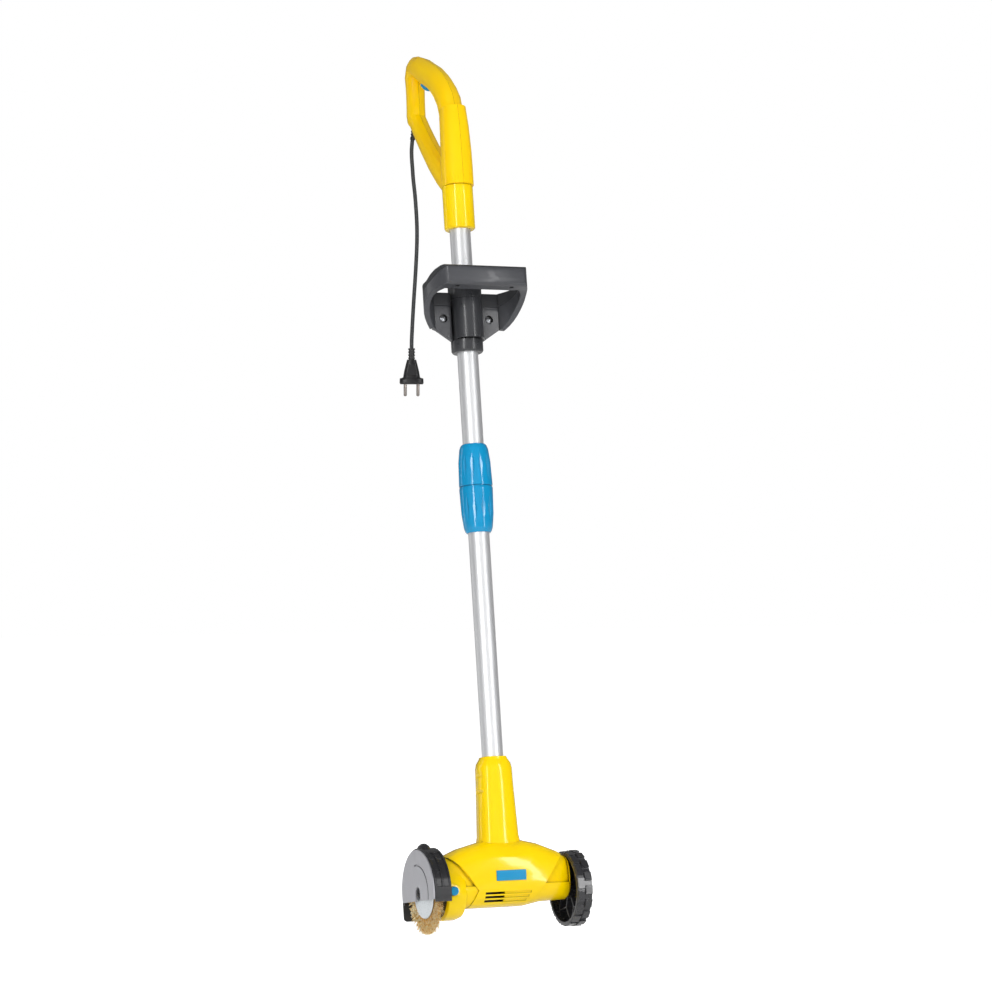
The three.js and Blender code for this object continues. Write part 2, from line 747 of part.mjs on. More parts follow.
// Telescopic lock: two fluted sleeves round a split collet
// A sleeve swells from its free end to the joint: [share of its length, share of its radius]
const sleeveShares = [[0, 0.7], [0.035, 0.78], [0.12, 0.86], [0.42, 0.955], [0.97, 1], [1, 0.98]];
const fluteMiddleShare = 0.53;
const lensCorners = 4;

function sleeveSide(freeEnd, joint) {
  return sleeveShares.map(([along, out]) => [sleeveDiameter / 2 * out, freeEnd + (joint - freeEnd) * along]);
}

// Long hollows round a sleeve, leaning with its side
function flutes(freeEnd, joint) {
  const lens = wasm.Manifold.sphere(1, lensCorners).scale([fluteWidth / 2, fluteDepth, fluteLength / 2])
    .rotate([fluteTiltDegrees * Math.sign(joint - freeEnd), 0, 0])
    .translate([0, -sleeveDiameter / 2 * sleeveShares[3][1], freeEnd + (joint - freeEnd) * fluteMiddleShare]);
  return Array.from({ length: fluteCount }, (_, i) => lens.rotate([0, 0, 360 * i / fluteCount]));
}

function buildTwistLock() {
  const bore = tubeDiameter / 2 + clearance;
  const innerRadius = tubeDiameter / 2 - tubeWall - clearance;
  const throat = innerRadius + clearance;
  const lowerTop = sleeveSplit - sleeveGap / 2;
  const upperBottom = sleeveSplit + sleeveGap / 2;
  const spigot = sleeveDiameter / 2 - sleeveSpigot;
  const lowerSide = sleeveSide(lowerSleeveBottom, lowerTop);
  const lower = roundZ([
    ...lowerSide,
    [spigot, lowerTop],
    [spigot, upperBottom - clearance],
    [throat, upperBottom - clearance],
    [throat, lowerTubeTop + clearance],
    [bore, lowerTubeTop + clearance],
    [bore, lowerSleeveBottom],
    lowerSide[0],
  ], 24);
  place('lower_sleeve', cut(lower, ...flutes(lowerSleeveBottom, lowerTop)), bluePlastic());

  const collarRoom = innerRadius + clearance + colletWall + clearance * 2;
  const upper = roundZ([
    [collarRoom, upperBottom],
    ...sleeveSide(upperSleeveTop, upperBottom).reverse(),
    [bore, upperSleeveTop],
    [bore, upperTubeBottom - clearance],
    [collarRoom, upperTubeBottom - clearance],
    [collarRoom, upperBottom],
  ], 24);
  place('lock_sleeve', cut(upper, ...flutes(upperSleeveTop, upperBottom)), bluePlastic());

  const collet = roundZ(ring(innerRadius + clearance + colletWall, innerRadius + clearance,
    upperBottom + clearance, upperTubeBottom - clearance));
  const slit = block(-1, 1, 0, sleeveDiameter, upperBottom - overrun, upperTubeBottom + overrun);
  place('lock_collet', cut(collet, slit), blackPlastic());

  place('inner_tube', roundZ(ring(innerRadius, innerRadius - tubeWall, innerTubeBottom, innerTubeTop)), aluminium());
  place('lower_tube', roundZ(ring(tubeDiameter / 2, tubeDiameter / 2 - tubeWall, lowerTubeBottom, lowerTubeTop)),
    aluminium());
}

// Head housing: a barrel lofted along x, a neck lofted up the tube and a gearbox lobe round the spindle.
// Barrel stations: [x, top, bottom, half depth]
const barrelStations = [
  [barrelLeft, 42, -20, 33],
  [barrelLeft + 9, 49, -23.5, 37],
  [-62, 59, -24.6, 40],
  [-28, 67.6, -24.6, 40.5],
  [28, 67.6, -24.6, 40.5],
  [52, 62, -20, 40],
  [80, 51, -19, 37],
  [barrelRight, 44.5, -18.5, 32],
];
const wingRecess = 6;
const recessTallShare = 0.12;
const ledgeRecess = 2.5;
const ledgeZ = 5;
const neckStations = [
  [38, neckBaseWidth + 6, neckDepth + 8],
  [66, neckBaseWidth + 3, neckDepth + 5],
  [74, neckBaseWidth, neckDepth + 2],
  [120, neckBaseWidth - 4, neckDepth],
  [150, neckWidth + 0.5, neckDepth - 1],
  [168, neckWidth, neckDepth - 1.5],
  [175, neckWidth - 3, neckDepth - 4],
  [181, neckWidth - 10, neckDepth - 10],
  [neckTop, neckMouth, neckMouth],
];
const spindleZ = 0;
const motorZ = gearModule * (gearTeeth + pinionTeeth) / 2;

function barrel(recess, inset) {
  const rings = barrelStations.map(([x, top, bottom, halfDepth]) => {
    const halfTall = (top - bottom) / 2 - inset - recess * recessTallShare;
    const end = (x < 0 ? 1 : -1) * (x === barrelLeft || x === barrelRight ? inset : 0);
    const section = roundedSection(halfDepth - recess - inset, halfTall, 2.7, 18);
    return section.map(([u, v]) => new THREE.Vector3(x + end, u, (top + bottom) / 2 + v));
  });
  return solid(loftRings(rings));
}

function neck(inset, fromZ, toZ) {
  const rings = neckStations.map(([z, width, depth]) => roundedSection(width / 2 - inset, depth / 2 - inset, 3.4, 16)
    .map(([u, v]) => new THREE.Vector3(u, v, z)));
  const wide = neckBaseWidth * 2;
  return solid(loftRings(rings)).intersect(block(-wide, wide, -wide, wide, fromZ, toZ));
}

function panelOutline() {
  return outline([
    [barrelLeft - overrun, 80], [-86, 47], [-75, 35.6], [-48, -1], [-58, -24], [-58, -60],
    [26, -60], [26, -24.6], [43.5, -7], [71.5, 32], [84, 45], [barrelRight + overrun, 80],
  ]);
}

function outerHousing() {
  const wide = barrelRight * 3;
  const wings = barrel(wingRecess, 0);
  const belowLedge = barrel(ledgeRecess, 0).intersect(block(-wide, wide, -wide, wide, -wide, ledgeZ));
  const face = barrel(0, 0).intersect(prismY(panelOutline(), -wide, wide));
  const lobe = roundX([[0, barrelLeft], [lobeRadius - 3, barrelLeft], [lobeRadius, barrelLeft + 3],
    [lobeRadius, lobeRight - 8], [lobeRadius - 3, lobeRight], [0, lobeRight]], 28);
  return join(wings, belowLedge, face, lobe, neck(0, neckStations[0][0], neckTop));
}

const bulkheadLeft = [-77, -69];
const bulkheadRight = [49, 57];
const housingScrews = [[0, 104], [-60, -16], [72, 38]];

function xCylinder(radius, from, to, y, z, facets = roundFacets) {
  return roundX(pin(radius, from, to), facets).translate([0, y, z]);
}

function yCylinder(radius, from, to, x, z, facets = roundFacets) {
  return roundY(pin(radius, from, to), facets).translate([x, 0, z]);
}

function buildHousing() {
  const wide = barrelRight * 3;
  const outer = outerHousing();
  const motorBearing = bearingDiameter / 2 + clearance;
  const spindleBearing = spindleBearingDiameter / 2 + clearance;
  const roomLeft = barrelLeft + spindleBearingWidth;
  const rooms = [
    cut(xCylinder(lobeRadius - housingWall, barrelLeft + housingWall, bulkheadLeft[0], 0, spindleZ, 28),
      xCylinder(spindleBearing + housingWall, barrelLeft, roomLeft, 0, spindleZ)),
    xCylinder(motorBearing, roomLeft, bulkheadLeft[1], 0, motorZ, 20),
    xCylinder(spindleBearing, barrelLeft - overrun, bulkheadLeft[1], 0, spindleZ),
    xCylinder(statorDiameter / 2 + clearance, bulkheadLeft[1], bulkheadRight[0], 0, motorZ, 28),
    xCylinder(motorBearing, bulkheadRight[0], bulkheadRight[1] + 2, 0, motorZ, 20),
    xCylinder(wheelAxleDiameter / 2 + clearance, bulkheadRight[0] + clearance, wheelLeft, 0, wheelAxisZ),
  ];
  const headY = 15;
  const screwRoom = housingScrews.flatMap(([x, z]) => [
    yCylinder(housingScrewHead / 2 + clearance, headY, wide, x, z, smallFacets),
    yCylinder(housingScrewDiameter / 2 + clearance, -headY, headY, x, z, smallFacets),
  ]);
  const vents = [];
  for (let i = 0; i < ventCount; i++) {
    const z = ventTopZ - i * ventPitch;
    const rightEnd = ventRight - i * ventHeight;
    vents.push(block(ventLeft, ventOpenRight, -wide, -statorDiameter / 4, z - ventHeight / 2, z + ventHeight / 2));
    vents.push(block(ventOpenRight, rightEnd, -wide, 0, z - ventHeight / 2, z + ventHeight / 2)
      .subtract(barrel(housingWall / 2, 0)));
  }
  const grooves = bothSides((side) => [neckTop - 26.5, neckTop - 48.5].map((z) =>
    yCylinder(neckGrooveDepth * 2.4, -wide, wide, side * (neckWidth / 2 + neckGrooveDepth * 1.6), z, 12))).flat();
  const tubeRoom = roundZ(pin(tubeDiameter / 2 + clearance, lowerTubeBottom - clearance, neckTop + overrun));
  const cableRoom = roundZ(pin(tubeDiameter / 2 - 2 * tubeWall, motorZ, lowerTubeBottom + overrun));
  const buttonHole = yCylinder(buttonDiameter / 2 + clearance, -wide, -lobeRadius / 2, buttonX, spindleZ, 24);
  const whole = cut(outer, ...rooms, ...screwRoom, ...vents, ...grooves, tubeRoom, cableRoom, buttonHole);
  const seam = clearance / 2;
  place('housing_front', whole.intersect(block(-wide, wide, -wide, -seam, -wide, wide)), yellowPlastic());
  place('housing_rear', whole.intersect(block(-wide, wide, seam, wide, -wide, wide)), yellowPlastic());

  housingScrews.forEach(([x, z], i) => {
    const head = 2.4;
    const screw = cut(join(
      yCylinder(housingScrewDiameter / 2, -headY + clearance, headY + head / 2, x, z, smallFacets),
      yCylinder(housingScrewHead / 2, headY + clearance, headY + clearance + head, x, z, smallFacets),
    ), yCylinder(housingScrewHead / 5, headY + head / 2, headY + head * 2, x, z, 6));
    place(`housing_screw_${i + 1}`, screw, steel());
  });

  const plate = barrel(0, -clearance - plateThickness).intersect(block(-plateWidth / 2, plateWidth / 2, -wide, 0,
    plateZ - plateHeight / 2, plateZ + plateHeight / 2)).subtract(barrel(0, -clearance));
  place('front_plate', plate, bluePlastic());

  const [, capTop, capBottom, capDepth] = barrelStations[barrelStations.length - 1];
  const middle = (capTop + capBottom) / 2;
  const capRing = (x, shrink) => roundedSection(capDepth - shrink, (capTop - capBottom) / 2 - shrink, 2.7, 20)
    .map(([u, v]) => new THREE.Vector3(x, u, middle + v));
  const capLeft = barrelRight + clearance;
  const cap = cut(
    solid(loftRings([capRing(capLeft, 1), capRing(capLeft + endCapThickness, 3), capRing(capLeft + 2 * endCapThickness, 9)])),
    xCylinder(wheelAxleDiameter / 2 + clearance, barrelRight, wheelRight, 0, wheelAxisZ));
  place('end_cap', cap, yellowPlastic());
}

// Gear outline with involute flanks, backlash taken from the tooth
function gearShape(teeth) {
  const pitch = gearModule * teeth / 2;
  const base = pitch * Math.cos(pressureDegrees * Math.PI / 180);
  const tip = pitch + gearModule * toothAddendumShare;
  const root = pitch - gearModule * toothDedendumShare;
  const roll = (radius) => (radius <= base ? 0 : Math.sqrt((radius / base) ** 2 - 1));
  const involute = (radius) => roll(radius) - Math.atan(roll(radius));
  const halfTooth = Math.PI / (2 * teeth) - backlash / (2 * pitch);
  const flank = (radius) => halfTooth + involute(pitch) - involute(radius);
  const low = Math.max(base, root);
  const heights = [low, tip];
  const points = [];
  for (let i = 0; i < teeth; i++) {
    const centre = (2 * Math.PI * i) / teeth;
    const rise = heights.map((r) => [r, centre - flank(r)]);
    const fall = heights.slice().reverse().map((r) => [r, centre + flank(r)]);
    const foot = root < base ? [[root, centre - flank(low)]] : [];
    const heel = root < base ? [[root, centre + flank(low)]] : [];
    for (const [r, a] of [...foot, ...rise, ...fall, ...heel]) points.push([r * Math.cos(a), r * Math.sin(a)]);
  }
  return outline(points);
}

function bearing(name, outerDiameter, innerDiameter, from, to, z) {
  place(name, roundX(ring(outerDiameter / 2, innerDiameter / 2, from, to), 18).translate([0, 0, z]), steel());
}

function buildDrive() {
  const gearRight = gearLeft + gearFace;
  const shaftRadius = motorShaftDiameter / 2;
  const spindleRadius = spindleDiameter / 2;
  const pinion = prismX(gearShape(pinionTeeth), gearLeft, gearRight).rotate([-90, 0, 0]).translate([0, 0, motorZ]);
  const shaftEnd = bulkheadRight[1] + 1;
  const shaft = join(pinion, xCylinder(shaftRadius, gearLeft, shaftEnd, 0, motorZ, 20));
  place('motor_shaft', shaft, steel());
  const slots = [];
  for (let i = 0; i < 8; i++) {
    slots.push(block(statorLeft, statorLeft + statorLength, -1, 1, armatureDiameter / 2 - 4, armatureDiameter)
      .rotate([45 * i, 0, 0]));
  }
  const core = cut(roundX(pin(armatureDiameter / 2, statorLeft + 2, statorLeft + statorLength - 2)), ...slots);
  const commutator = roundX(pin(armatureDiameter / 3.4, statorLeft + statorLength - 2, statorLeft + statorLength + 9), 20);
  const armature = cut(join(core, commutator).translate([0, 0, motorZ]),
    xCylinder(shaftRadius + clearance, -100, 100, 0, motorZ, 20));
  place('armature', armature, copper());
  place('stator', cut(xCylinder(statorDiameter / 2, statorLeft, statorLeft + statorLength, 0, motorZ, 36),
    xCylinder(statorBore / 2, statorLeft - overrun, statorLeft + statorLength + overrun, 0, motorZ, 36)), steel());
  const hub = roundX(pin(shaftRadius * 2.5, fanLeft, fanLeft + fanLength), 24);
  const disc = roundX(pin(fanDiameter / 2, fanLeft + fanLength - 1.5, fanLeft + fanLength), 36);
  const blades = [];
  for (let i = 0; i < fanBlades; i++) {
    blades.push(block(fanLeft, fanLeft + fanLength - 1, -0.7, 0.7, shaftRadius * 2, fanDiameter / 2 - 0.5)
      .rotate([(360 * i) / fanBlades, 0, 0]));
  }
  place('cooling_fan', cut(join(hub, disc, ...blades).translate([0, 0, motorZ]),
    xCylinder(shaftRadius + clearance, -100, 100, 0, motorZ, 20)), blackPlastic());
  bearing('motor_bearing_left', bearingDiameter, motorShaftDiameter + 2 * clearance,
    bulkheadLeft[0] + 1, bulkheadLeft[0] + 1 + bearingWidth, motorZ);
  bearing('motor_bearing_right', bearingDiameter, motorShaftDiameter + 2 * clearance,
    bulkheadRight[0] + 1, bulkheadRight[0] + 1 + bearingWidth, motorZ);

  const wheelGear = prismX(gearShape(gearTeeth), gearLeft, gearRight).rotate([90 + 180 / gearTeeth, 0, 0]);
  place('spindle_gear', cut(wheelGear, xCylinder(spindleRadius + clearance, -120, 0, 0, 0)), steel());
  bearing('spindle_bearing_outer', spindleBearingDiameter, spindleDiameter + 2 * clearance,
    barrelLeft + clearance, barrelLeft + spindleBearingWidth - 1, spindleZ);
  bearing('spindle_bearing_inner', spindleBearingDiameter, spindleDiameter + 2 * clearance,
    bulkheadLeft[0] + clearance, bulkheadLeft[1] - clearance, spindleZ);
}

// Brush: a ring of wire on a backing between two dished hub sheets, bolted to the spindle
function strandRows(from, to) {
  const rootRadius = bristleRootDiameter / 2 - bristleThickness;
  const tipRadius = brushDiameter / 2;
  const positions = [];
  const faces = [];
  for (let row = 0; row < bristleRowCount; row++) {
    const rowShare = (row + 0.5) / bristleRowCount - 0.5;
    for (let i = 0; i < bristlesPerRow; i++) {
      const angle = (2 * Math.PI * (i + (row % 2) / 2)) / bristlesPerRow;
      if (angle < from || angle >= to) continue;
      const wave = Math.sin(i * 2.4 + row * 1.7);
      const radii = [rootRadius, tipRadius - (1 + wave) * bristleThickness];
      const start = positions.length / 3;
      radii.forEach((radius, level) => {
        const sway = level * bristleThickness * 0.7 * wave;
        const x = brushCentreX + rowShare * (brushWidth - 2 * hubSheet) + 2 * level * rowShare * bristleThickness;
        const thick = bristleThickness * (1 - 0.12 * level);
        for (let k = 0; k < 3; k++) {
          const turn = (2 * Math.PI * k) / 3;
          const across = sway + thick * 0.5 * Math.sin(turn);
          positions.push(x + thick * 0.5 * Math.cos(turn),
            radius * Math.cos(angle) - across * Math.sin(angle),
            radius * Math.sin(angle) + across * Math.cos(angle));
        }
      });
      for (let k = 0; k < 3; k++) {
        const a = start + k;
        const b = start + (k + 1) % 3;
        faces.push(a, a + 3, b, b, a + 3, b + 3);
      }
      faces.push(start, start + 1, start + 2, start + 3, start + 5, start + 4);
    }
  }
  const geometry = new THREE.BufferGeometry();
  geometry.setAttribute('position', new THREE.Float32BufferAttribute(positions, 3));
  geometry.setIndex(faces);
  const strands = solid(geometry);
  if (strands.volume() > 0) return strands;
  geometry.setIndex(faces.reverse());
  return solid(geometry);
}

function buildBrush() {
  const half = brushWidth / 2;
  const backLeft = brushCentreX - half + hubSheet + clearance;
  const backRight = brushCentreX + half - hubSheet - clearance;
  const backing = roundX(ring(bristleRootDiameter / 2, bristleBackingInner / 2, backLeft, backRight), 40);
  const far = brushDiameter;
  for (let slice = 0; slice < bristleSlices; slice++) {
    const from = (2 * Math.PI * slice) / bristleSlices;
    const to = (2 * Math.PI * (slice + 1)) / bristleSlices;
    const sign = slice === 0 ? 1 : -1;
    const band = block(backLeft - 1, backRight + 1, -far, far, sign > 0 ? clearance / 2 : -far,
      sign > 0 ? far : -clearance / 2);
    const edge = bristleThickness / (bristleRootDiameter / 2 - bristleThickness);
    const strands = strandRows(from + edge, to - edge);
    place(`bristle_ring_${slice + 1}`, join(backing.intersect(band), strands), brass());
  }
  const spindleRadius = spindleDiameter / 2;
  const bore = brushBoltDiameter / 2 + clearance;
  const dish = (outer) => {
    const flip = outer ? -1 : 1;
    const face = brushCentreX + flip * half;
    const raised = face + flip * hubDish / 3;
    return roundX([
      [spindleRadius + clearance, raised - flip * hubSheet],
      [spindleRadius + clearance, raised],
      [brushHubDiameter / 4, raised],
      [brushHubDiameter / 2.6, face],
      [brushHubDiameter / 2 - 1, face],
      [brushHubDiameter / 2, face - flip * hubSheet],
      [brushHubDiameter / 2.6, face - flip * hubSheet],
      [brushHubDiameter / 4, raised - flip * hubSheet],
      [spindleRadius + clearance, raised - flip * hubSheet],
    ], 24);
  };
  place('brush_hub_outer', dish(true), steel());
  place('brush_hub_inner', dish(false), steel());
  const core = roundX(ring(bristleBackingInner / 2 - clearance, spindleRadius + clearance,
    backLeft, backRight), 32);
  place('brush_core', core, blackPlastic());

  const noseLeft = brushCentreX - half - hubDish / 3 - clearance;
  const shoulder = brushCentreX + half + hubDish / 3 + clearance;
  const spindle = cut(join(
    xCylinder(spindleRadius, noseLeft, bulkheadLeft[1] - clearance, 0, spindleZ, 24),
    xCylinder(spindleRadius * 1.6, shoulder, barrelLeft - clearance * 3, 0, spindleZ, 24),
  ), xCylinder(bore, noseLeft - overrun, noseLeft + brushWidth * 1.5, 0, spindleZ, 20));
  place('spindle', spindle, steel());

  const headRight = noseLeft - clearance;
  const headLeft = headRight - brushBoltHead / 3;
  const bolt = cut(join(
    roundX([[0, headRight], [brushBoltHead / 2, headRight], [brushBoltHead / 2, headLeft + 0.6],
      [brushBoltHead / 2 - 0.8, headLeft], [0, headLeft]], 28),
    xCylinder(brushBoltDiameter / 2, headRight - 1, noseLeft + brushWidth, 0, spindleZ, 20),
  ), xCylinder(brushBoltSocket / 2, headLeft - overrun, headLeft + brushBoltHead / 4, 0, spindleZ, 6));
  place('brush_bolt', bolt, steel());
}

// Guard: an arch over the brush with a back wall, a grey side plate and a flap behind
function arcSector(radius, fromDegrees, toDegrees, pointsPer = 18) {
  const points = [];
  const steps = Math.max(4, Math.round((toDegrees - fromDegrees) / 180 * pointsPer));
  for (let i = 0; i <= steps; i++) {
    const a = (fromDegrees + ((toDegrees - fromDegrees) * i) / steps) * Math.PI / 180;
    points.push([radius * Math.cos(a), radius * Math.sin(a)]);
  }
  return points;
}

function buildGuard() {
  const left = guardPlateLeft + guardPlateThickness + clearance;
  const tilt = Math.asin(-guardLowZ / guardOuterRadius) * 180 / Math.PI;
  const archOuter = arcSector(guardOuterRadius, -tilt, 180 + tilt, 24);
  const arch = prismX(outline([...archOuter, [0, guardLowZ]]), left, guardRight);
  const innerRadius = guardOuterRadius - guardWall;
  const room = xCylinder(innerRadius, left + guardLipWidth, guardRight - guardWall, 0, spindleZ, 36);
  const mouth = xCylinder(guardPlateRadius - guardLipOverlap, left - overrun, guardRight - guardWall, 0, spindleZ, 36);
  const under = join(
    block(left + guardLipWidth, guardRight - guardWall, -innerRadius, innerRadius, -innerRadius, 0),
    block(left - overrun, guardRight - guardWall, -guardPlateRadius + guardLipOverlap,
      guardPlateRadius - guardLipOverlap, -innerRadius, 0));
  const spindleRoom = xCylinder(spindleDiameter * 1.8, left - overrun, 0, 0, spindleZ);
  const dome = new THREE.SphereGeometry(1, 14, 10).scale(guardBumpLength / 2, guardBumpWidth / 2,
    guardBumpHeight * 2);
  const hump = solid(dome).translate([left + guardBumpLength / 2 + 0.5, 0, guardOuterRadius - guardBumpHeight]);
  const ribs = [];
  const panelBottom = 6;
  const middleX = (left + guardRight) / 2;
  for (const [x0, x1] of [[left + 2.4, middleX - 1.2], [middleX + 1.2, guardRight - 2.4]]) {
    for (const [a0, a1] of [[panelBottom, 62], [118, 180 - panelBottom]]) {
      const outer = arcSector(guardOuterRadius + guardRim, a0, a1);
      const inner = arcSector(guardOuterRadius - guardRibHeight, a0, a1).reverse();
      ribs.push(prismX(outline([...outer, ...inner]), x0, x1));
    }
  }
  const beyond = 3 * guardOuterRadius;
  const pad = block(guardRight - 21, guardRight, innerRadius - 1, guardOuterRadius + clearance, guardLowZ, flapTopZ)
    .intersect(block(-beyond, 0, 0, guardOuterRadius + clearance, guardLowZ, flapTopZ));
  const standoff = roundX(ring(spindleDiameter * 2.8, spindleDiameter * 2.2, guardRight - 1,
    barrelLeft - clearance)).intersect(block(-beyond, 0, -beyond, beyond, guardLowZ + 3 * clearance, beyond));
  const flapScrew = yCylinder(2 + clearance, 0, 100, guardRight - 11, -2, smallFacets);
  place('guard_cover', cut(join(arch, hump, pad, standoff), room, mouth, under, spindleRoom, ...ribs, flapScrew),
    blackPlastic());

  const plateShape = new THREE.Shape();
  const cutAngle = Math.asin(-guardCutZ / guardPlateRadius);
  const notch = guardNotchWidth / 2;
  plateShape.moveTo(guardPlateRadius * Math.cos(-cutAngle), guardCutZ);
  plateShape.absarc(0, 0, guardPlateRadius, -cutAngle, Math.PI + cutAngle, false);
  plateShape.lineTo(-notch, guardCutZ);
  plateShape.lineTo(-notch, guardNotchTop - notch);
  plateShape.absarc(0, guardNotchTop - notch, notch, Math.PI, 0, true);
  plateShape.lineTo(notch, guardCutZ);
  plateShape.closePath();
  const plateRight = guardPlateLeft + guardPlateThickness;
  const step = prismX(outline([
    ...arcSector(guardStepRadius, 80, 196),
    ...arcSector(guardStepRadius - guardStepWidth, 80, 196).reverse(),
  ]), guardPlateLeft - overrun, guardPlateLeft + guardStepDepth);
  place('guard_plate', cut(prismX(plateShape, guardPlateLeft, plateRight, 26), step), steel());

  const flapY = guardOuterRadius + 2 * clearance;
  const flap = new THREE.Shape();
  const [flapLeft, flapRight, flapBottom] = [left, guardRight - 1, flapTopZ - flapHeight];
  flap.moveTo(flapLeft, flapTopZ);
  flap.lineTo(flapLeft, flapBottom + 6);
  flap.quadraticCurveTo(flapLeft, flapBottom, flapLeft + 6, flapBottom);
  flap.lineTo(flapRight - 6, flapBottom);
  flap.quadraticCurveTo(flapRight, flapBottom, flapRight, flapBottom + 6);
  flap.lineTo(flapRight, flapTopZ);
  flap.closePath();
  place('guard_flap', cut(prismY(flap, flapY, flapY + flapThickness), flapScrew), blackRubber());
  const screwFace = flapY + flapThickness + clearance;
  place('flap_screw', join(
    yCylinder(2, innerRadius + clearance, screwFace + 1, guardRight - 11, -2, smallFacets),
    yCylinder(4, screwFace, screwFace + 2.2, guardRight - 11, -2, smallFacets)), steel());
}

// Support wheel with a ribbed inner side and a staggered block tread, on a fixed axle
function buildWheel() {
  const outer = wheelDiameter / 2;
  const base = outer - treadHeight;
  const rimInner = base - wheelRim;
  const hubRadius = wheelHubDiameter / 2;
  const bore = wheelAxleDiameter / 2 + clearance;
  const webRight = wheelRight - 2;
  const webLeft = webRight - wheelWeb;
  const hubLeft = barrelRight + 2 * clearance + 2 * endCapThickness + clearance;
  const centre = (wheelLeft + wheelRight) / 2;
  const body = roundX([
    [bore, hubLeft], [hubRadius, hubLeft], [hubRadius, webLeft], [rimInner, webLeft], [rimInner, wheelLeft],
    [base - 1, wheelLeft], [base, wheelLeft + 1], [base, wheelRight - 1], [base - 1, wheelRight],
    [rimInner, wheelRight], [rimInner - 2, webRight], [hubRadius, webRight], [hubRadius - 1, wheelRight],
    [bore, wheelRight], [bore, hubLeft],
  ], 26);
  const ribs = [];
  const kink = rimInner * 0.62;
  for (let i = 0; i < wheelRibCount; i++) {
    const a = (360 * i) / wheelRibCount;
    ribs.push(block(webLeft - 9, webLeft + 1, -0.8, 0.8, hubRadius - 1, kink).rotate([a, 0, 0]));
    const step = Math.PI / wheelRibCount;
    const [y0, z0] = [0, kink];
    const [y1, z1] = [(rimInner + 1) * Math.sin(step), (rimInner + 1) * Math.cos(step)];
    const length = Math.hypot(y1 - y0, z1 - z0);
    const lean = Math.atan2(y1 - y0, z1 - z0) * 180 / Math.PI;
    const strut = block(webLeft - 9, webLeft + 1, -0.8, 0.8, -0.8, length);
    ribs.push(strut.rotate([-lean, 0, 0]).translate([0, 0, kink]).rotate([a, 0, 0]));
    ribs.push(strut.rotate([lean, 0, 0]).translate([0, 0, kink]).rotate([a, 0, 0]));
  }
  const blocks = [];
  const blockAngle = 360 / treadCount;
  const blockWidth = base * Math.PI * 2 / treadCount * 0.62;
  for (let i = 0; i < treadCount; i++) {
    const lug = (x0, x1, share, height) => block(x0, x1, -blockWidth * share / 2, blockWidth * share / 2,
      base - 2, base + height);
    blocks.push(lug(wheelLeft + 1, centre - 0.5, 1.25, treadHeight * 0.55).rotate([blockAngle * i, 0, 0]));
    blocks.push(lug(centre + 0.5, wheelRight - 1, 1, treadHeight).rotate([blockAngle * (i + 0.5), 0, 0]));
  }
  place('wheel', join(body, ...ribs, ...blocks).translate([0, 0, wheelAxisZ]), blackPlastic());
  const axle = join(
    xCylinder(wheelAxleDiameter / 2, bulkheadRight[0] + clearance, wheelRight + clearance + 1, 0, wheelAxisZ, 24),
    xCylinder(axleHeadDiameter / 2, wheelRight + clearance, wheelRight + clearance + 2.6, 0, wheelAxisZ, 24));
  place('wheel_axle', axle, steel());
}

function buildButton() {
  const face = -lobeRadius - buttonStand;
  const radius = buttonDiameter / 2;
  const flange = -lobeRadius + housingWall + 1.2;
  const button = join(
    roundY([[0, face], [radius - 1.2, face], [radius, face + 1.2], [radius, flange + 1], [0, flange + 1]], 20),
    roundY(pin(radius + 1.2, flange, flange + 2), 20).intersect(
      block(barrelLeft + housingWall + clearance - buttonX, lobeRadius, -lobeRadius, 0, -lobeRadius, lobeRadius)),
    roundY(pin(radius / 2.4, flange, -gearModule * gearTeeth / 2 - 4.4), 16));
  place('lock_button', button.translate([buttonX, 0, spindleZ]), bluePlastic());
}

// Strain relief, free cord and plug hang in the upright group, whose zero is the cord's exit
const cordRoute = [
  [0, 7.9, -20.5], [0.1, 10.4, -28], [0.4, 12.6, -37], [1.2, 13.8, -48], [2.4, 14, -62], [3.6, 14, -78],
  [6.2, 14, -100], [8, 14, -121], [9.3, 14, -142], [9.7, 14, -160], [9.4, 14, -178], [8.4, 14, -200],
  [6.9, 14, -225], [5, 14, -252], [3.2, 14, -280], [1.8, 14, -305], [1.1, 14, -320], [1, 14, -331],
];

